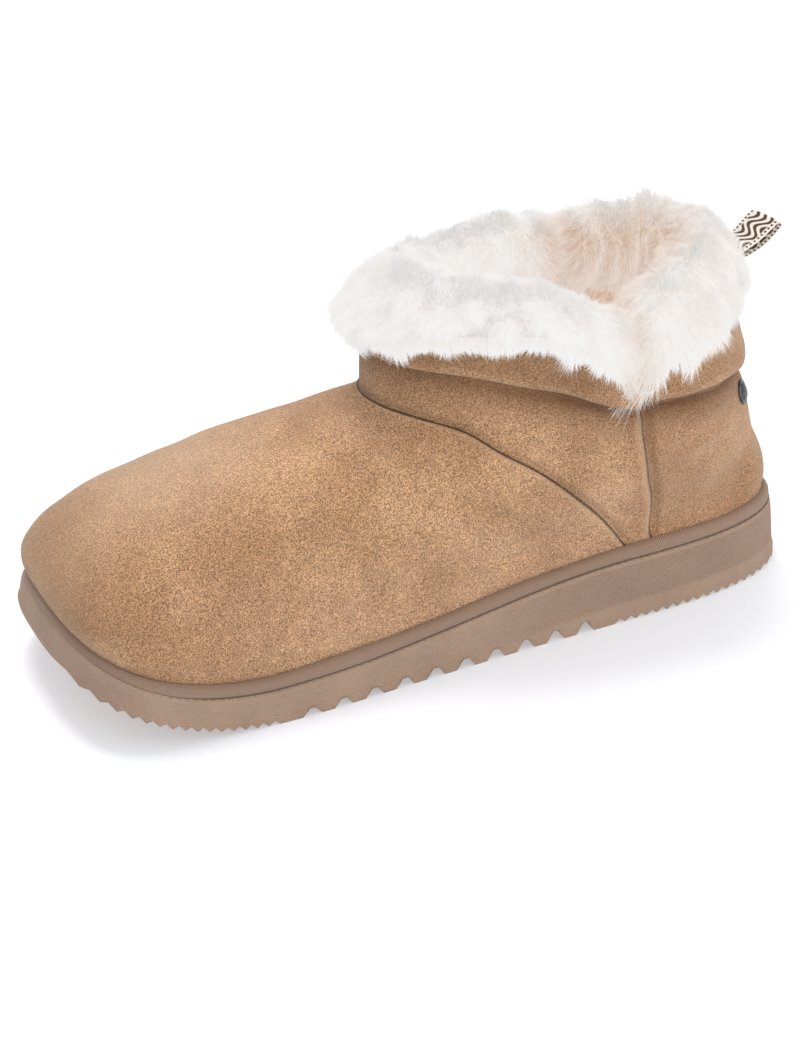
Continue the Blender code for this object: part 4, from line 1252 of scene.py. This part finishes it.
free_part = smooth_step(loop_line[:, 0], 0.1 * LOOP_REACH, 0.8 * LOOP_REACH)
turned = free_part * LOOP_TURN
widths = np.stack([np.sin(turned), np.cos(turned), LOOP_LEAN * free_part], axis=-1)
one_face = np.array([-1.0, -0.5, 0.0, 0.5, 1.0])
strip_across = np.concatenate([one_face, one_face[::-1], one_face[:1]])[:, None]
strip_face = np.repeat([-0.5, 0.5, -0.5], [5, 5, 1])[:, None]
thick = TAPE_THICK * SHOWN_THICK * np.where(np.abs(strip_across) == 1, 0.6, 1.0)
strip = rim_at_heel + loop_line + widths * strip_across[..., None] * TAPE_WIDTH / 2 * SHOWN_WIDTH
strip = strip + face_way * (strip_face * thick)[..., None]
loop = grid_piece("woven_pull_loop", strip, {"across": strip_across, "travel": travel}, closed_rings=False)
clean(loop.data, [loop.data], fill=True)
loop.data.set_sharp_from_angle(angle=math.radians(50))

# %% Woven pattern of the loop
WAVE_LENGTH, WAVE_SWING, BAND_PITCH, DOT_PITCH, THREAD = 0.0078, 0.30, 0.52, 0.0016, 0.00055
EDGE_AT = 0.89
woven, tree = new_material("jacquard_cotton_tape", 0.9, Specular_IOR_Level=0.2, Sheen_Weight=0.1)
across, travel_at = stored(tree, "across"), stored(tree, "travel")
off_middle = arithmetic("ABSOLUTE", across)
waved = plus(across, times(wave(travel_at, WAVE_LENGTH), WAVE_SWING))
brown = times(spread(wave(waved, BAND_PITCH), -0.15, 0.15), spread(off_middle, 0.80, 0.72))
edge_band = spread(arithmetic("ABSOLUTE", minus(off_middle, EDGE_AT)), 0.09, 0.05)
dotted = times(spread(wave(travel_at, DOT_PITCH), -0.1, 0.2), edge_band)
weave = times(wave(travel_at, THREAD), wave(across, THREAD * 2 / TAPE_WIDTH))
tone = mix(arithmetic("MAXIMUM", brown, dotted), "F0EAE0", "5C4230")
# Painted shade: the hollows between the threads of the weave are painted darker
tone = layered(tone, [(spread(weave, -0.2, -1.0), 0.30, "8D7766")])
coat(tree, tone, weave, 0.6, 0.00018)
dress(loop, woven, "pull_loop")

# %% [markdown]
# A small domed stud sits on the outer side of the heel, pressed from brass and plated in dark
# nickel. It is lathed here as a low dish with a rolled edge, and pressed a little into the suede.

# %% Heel stud
STUD_TURN, STUD_DIAMETER, STUD_DOME, STUD_OUT = 0.072, 0.0094, 0.0020, 0.0004
# Radius and height of the dish, as shares of those of the stud
STUD_PROFILE = [(0.70, -0.25), (0.93, 0.00), (1.00, 0.16), (1.00, 0.30), (0.95, 0.42), (0.88, 0.44),
                (0.82, 0.38), (0.78, 0.42), (0.68, 0.62), (0.52, 0.80), (0.34, 0.92), (0.16, 0.98),
                (0.02, 1.00)]
stud_share = (1 - math.cos(2 * math.pi * STUD_TURN)) / 2
near = stud_share + np.array([-0.002, 0, 0.002])
low_ring, mid_ring, high_ring = [fold_ring(near, -np.ones(3), fold) for fold in FOLDS[:3]]
stud_normal = unit(np.cross(high_ring[1] - low_ring[1], mid_ring[2] - mid_ring[0]))
stud_normal = -stud_normal * np.sign(stud_normal[1])
stud_at = mid_ring[1] + stud_normal * STUD_OUT
side_way = unit(np.cross(stud_normal, (0, 0, 1)))
up_way = np.cross(side_way, stud_normal)
angles = np.linspace(0, 2 * math.pi, 64, endpoint=False)[:, None]
spokes = (side_way * np.cos(angles) + up_way * np.sin(angles)) * STUD_DIAMETER / 2
stud_rings = [stud_at + spokes * radius + stud_normal * up * STUD_DOME for radius, up in STUD_PROFILE]
stud = grid_piece("dark_metal_stud", np.array(stud_rings), caps=True)
nickel, tree = new_material("black_nickel_plate", 0.34, Metallic=1.0)
worn = noise(place_in(tree), 700, 3)
wire(tree, mix(spread(worn, 0.4, 0.7), "4A4A4C", "6C6A68"), "Base Color")
wire(tree, spread(worn, 0.3, 0.7, 0.26, 0.44), "Roughness")
dress(stud, nickel, "heel_stud")

# %% [markdown]
# Small waxed stitches hold the rand to the sole. They sit in the groove under it, 3.2 mm apart.
# A second short Geometry Nodes tree puts one rounded stitch on each point of a curve.

# %% Welt stitches
STITCH = {"Pitch": 0.0032, "Length": 0.0022, "Thickness": 0.0007}
STITCH_INSET, STITCH_LIFT = 0.0001, 0.0002
line_share, line_side = once_round(even_turn(200))
x, y = sole_edge(line_share, line_side, SIDE_FLARE + STITCH_INSET)
line_points = np.stack([x, y, sole_top(along_at(x)) + STITCH_LIFT], axis=-1) + SHIFT
line_mesh = bpy.data.meshes.new("welt_line")
line_edges = [(i, (i + 1) % len(line_points)) for i in range(len(line_points))]
line_mesh.from_pydata(line_points.tolist(), line_edges, [])
welt_line = bpy.data.objects.new("welt_line", line_mesh)

tree, given = new_tree("welt_stitches", dict.fromkeys(STITCH, "Float"))
curve = add(tree, "GeometryNodeMeshToCurve", {"Mesh": given["Geometry"]}).outputs[0]
one_a_pitch = {"Curve": curve, "Length": given["Pitch"]}
spots = add(tree, "GeometryNodeCurveToPoints", one_a_pitch, mode="LENGTH").outputs
ball = add(tree, "GeometryNodeMeshUVSphere", {"Segments": 8, "Rings": 6, "Radius": 0.5}).outputs[0]
axes = {0: given["Thickness"], 1: given["Thickness"], 2: given["Length"]}
shape = add(tree, "ShaderNodeCombineXYZ", axes).outputs[0]
on_spots = {"Points": spots["Points"], "Instance": ball, "Rotation": spots["Rotation"], "Scale": shape}
finish_tree(tree, add(tree, "GeometryNodeInstanceOnPoints", on_spots).outputs[0], given["Material"])
thread, _ = new_material("waxed_polyester_thread", 0.7, Base_Color=linear("8A7262"))
from_tree("welt_stitches", welt_line, tree, dict(STITCH, Material=thread))
bpy.data.objects.remove(welt_line)

# %% [markdown]
# The floor and light are those of a product photograph: a white table that glows a little, a
# bright even surround, and two large soft lamps. One hangs high behind the shoe, brightens the
# top of the vamp and leaves a faint shadow in front of the sole. The other stands on the
# camera's side, towards the heel, and lights the outer side of the foot. As a fill light, it
# casts no shadow.


# %% Floor and light
def soft_lamp(name, at, size, power, shadow):
    """A square soft lamp at a place, aimed at the shoe."""
    data = bpy.data.lights.new(name, "AREA")
    data.size = size
    data.energy = power
    data.color = linear("FFF9F3")[:3]
    data.use_shadow = shadow
    lamp = put(name, data)
    lamp.location = at
    lamp.rotation_euler = (LAMPS_AIM - Vector(at)).to_track_quat("-Z", "Y").to_euler()


FLOOR_REACH = 6.0
LAMPS_AIM = Vector((0, 0, 0.03))
floor_mesh = bpy.data.meshes.new("floor")
corners = [(x * FLOOR_REACH, y * FLOOR_REACH, 0) for x, y in ((-1, -1), (1, -1), (1, 1), (-1, 1))]
floor_mesh.from_pydata(corners, [], [(0, 1, 2, 3)])
floor = put("floor", floor_mesh)
paper, _ = new_material("white_light_table", 1.0, Specular_IOR_Level=0.0, Emission_Strength=0.14,
                        Base_Color=linear("E8ECF1"), Emission_Color=linear("F8FAFF"))
floor_mesh.materials.append(paper)

world = bpy.data.worlds.new("surround")
world.use_nodes = True
background = world.node_tree.nodes["Background"].inputs
background["Color"].default_value = linear("F8FAFF")
background["Strength"].default_value = 0.77
bpy.context.scene.world = world

soft_lamp("top_lamp", (-0.10, 0.85, 2.6), 1.0, 35, shadow=True)
soft_lamp("front_lamp", (0.85, -1.9, 1.8), 1.6, 32, shadow=False)
floor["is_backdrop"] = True

# %% Sizes and finish
low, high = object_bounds()
print("dressed shoe, mm:", [round(v / MM, 1) for v in high - low])
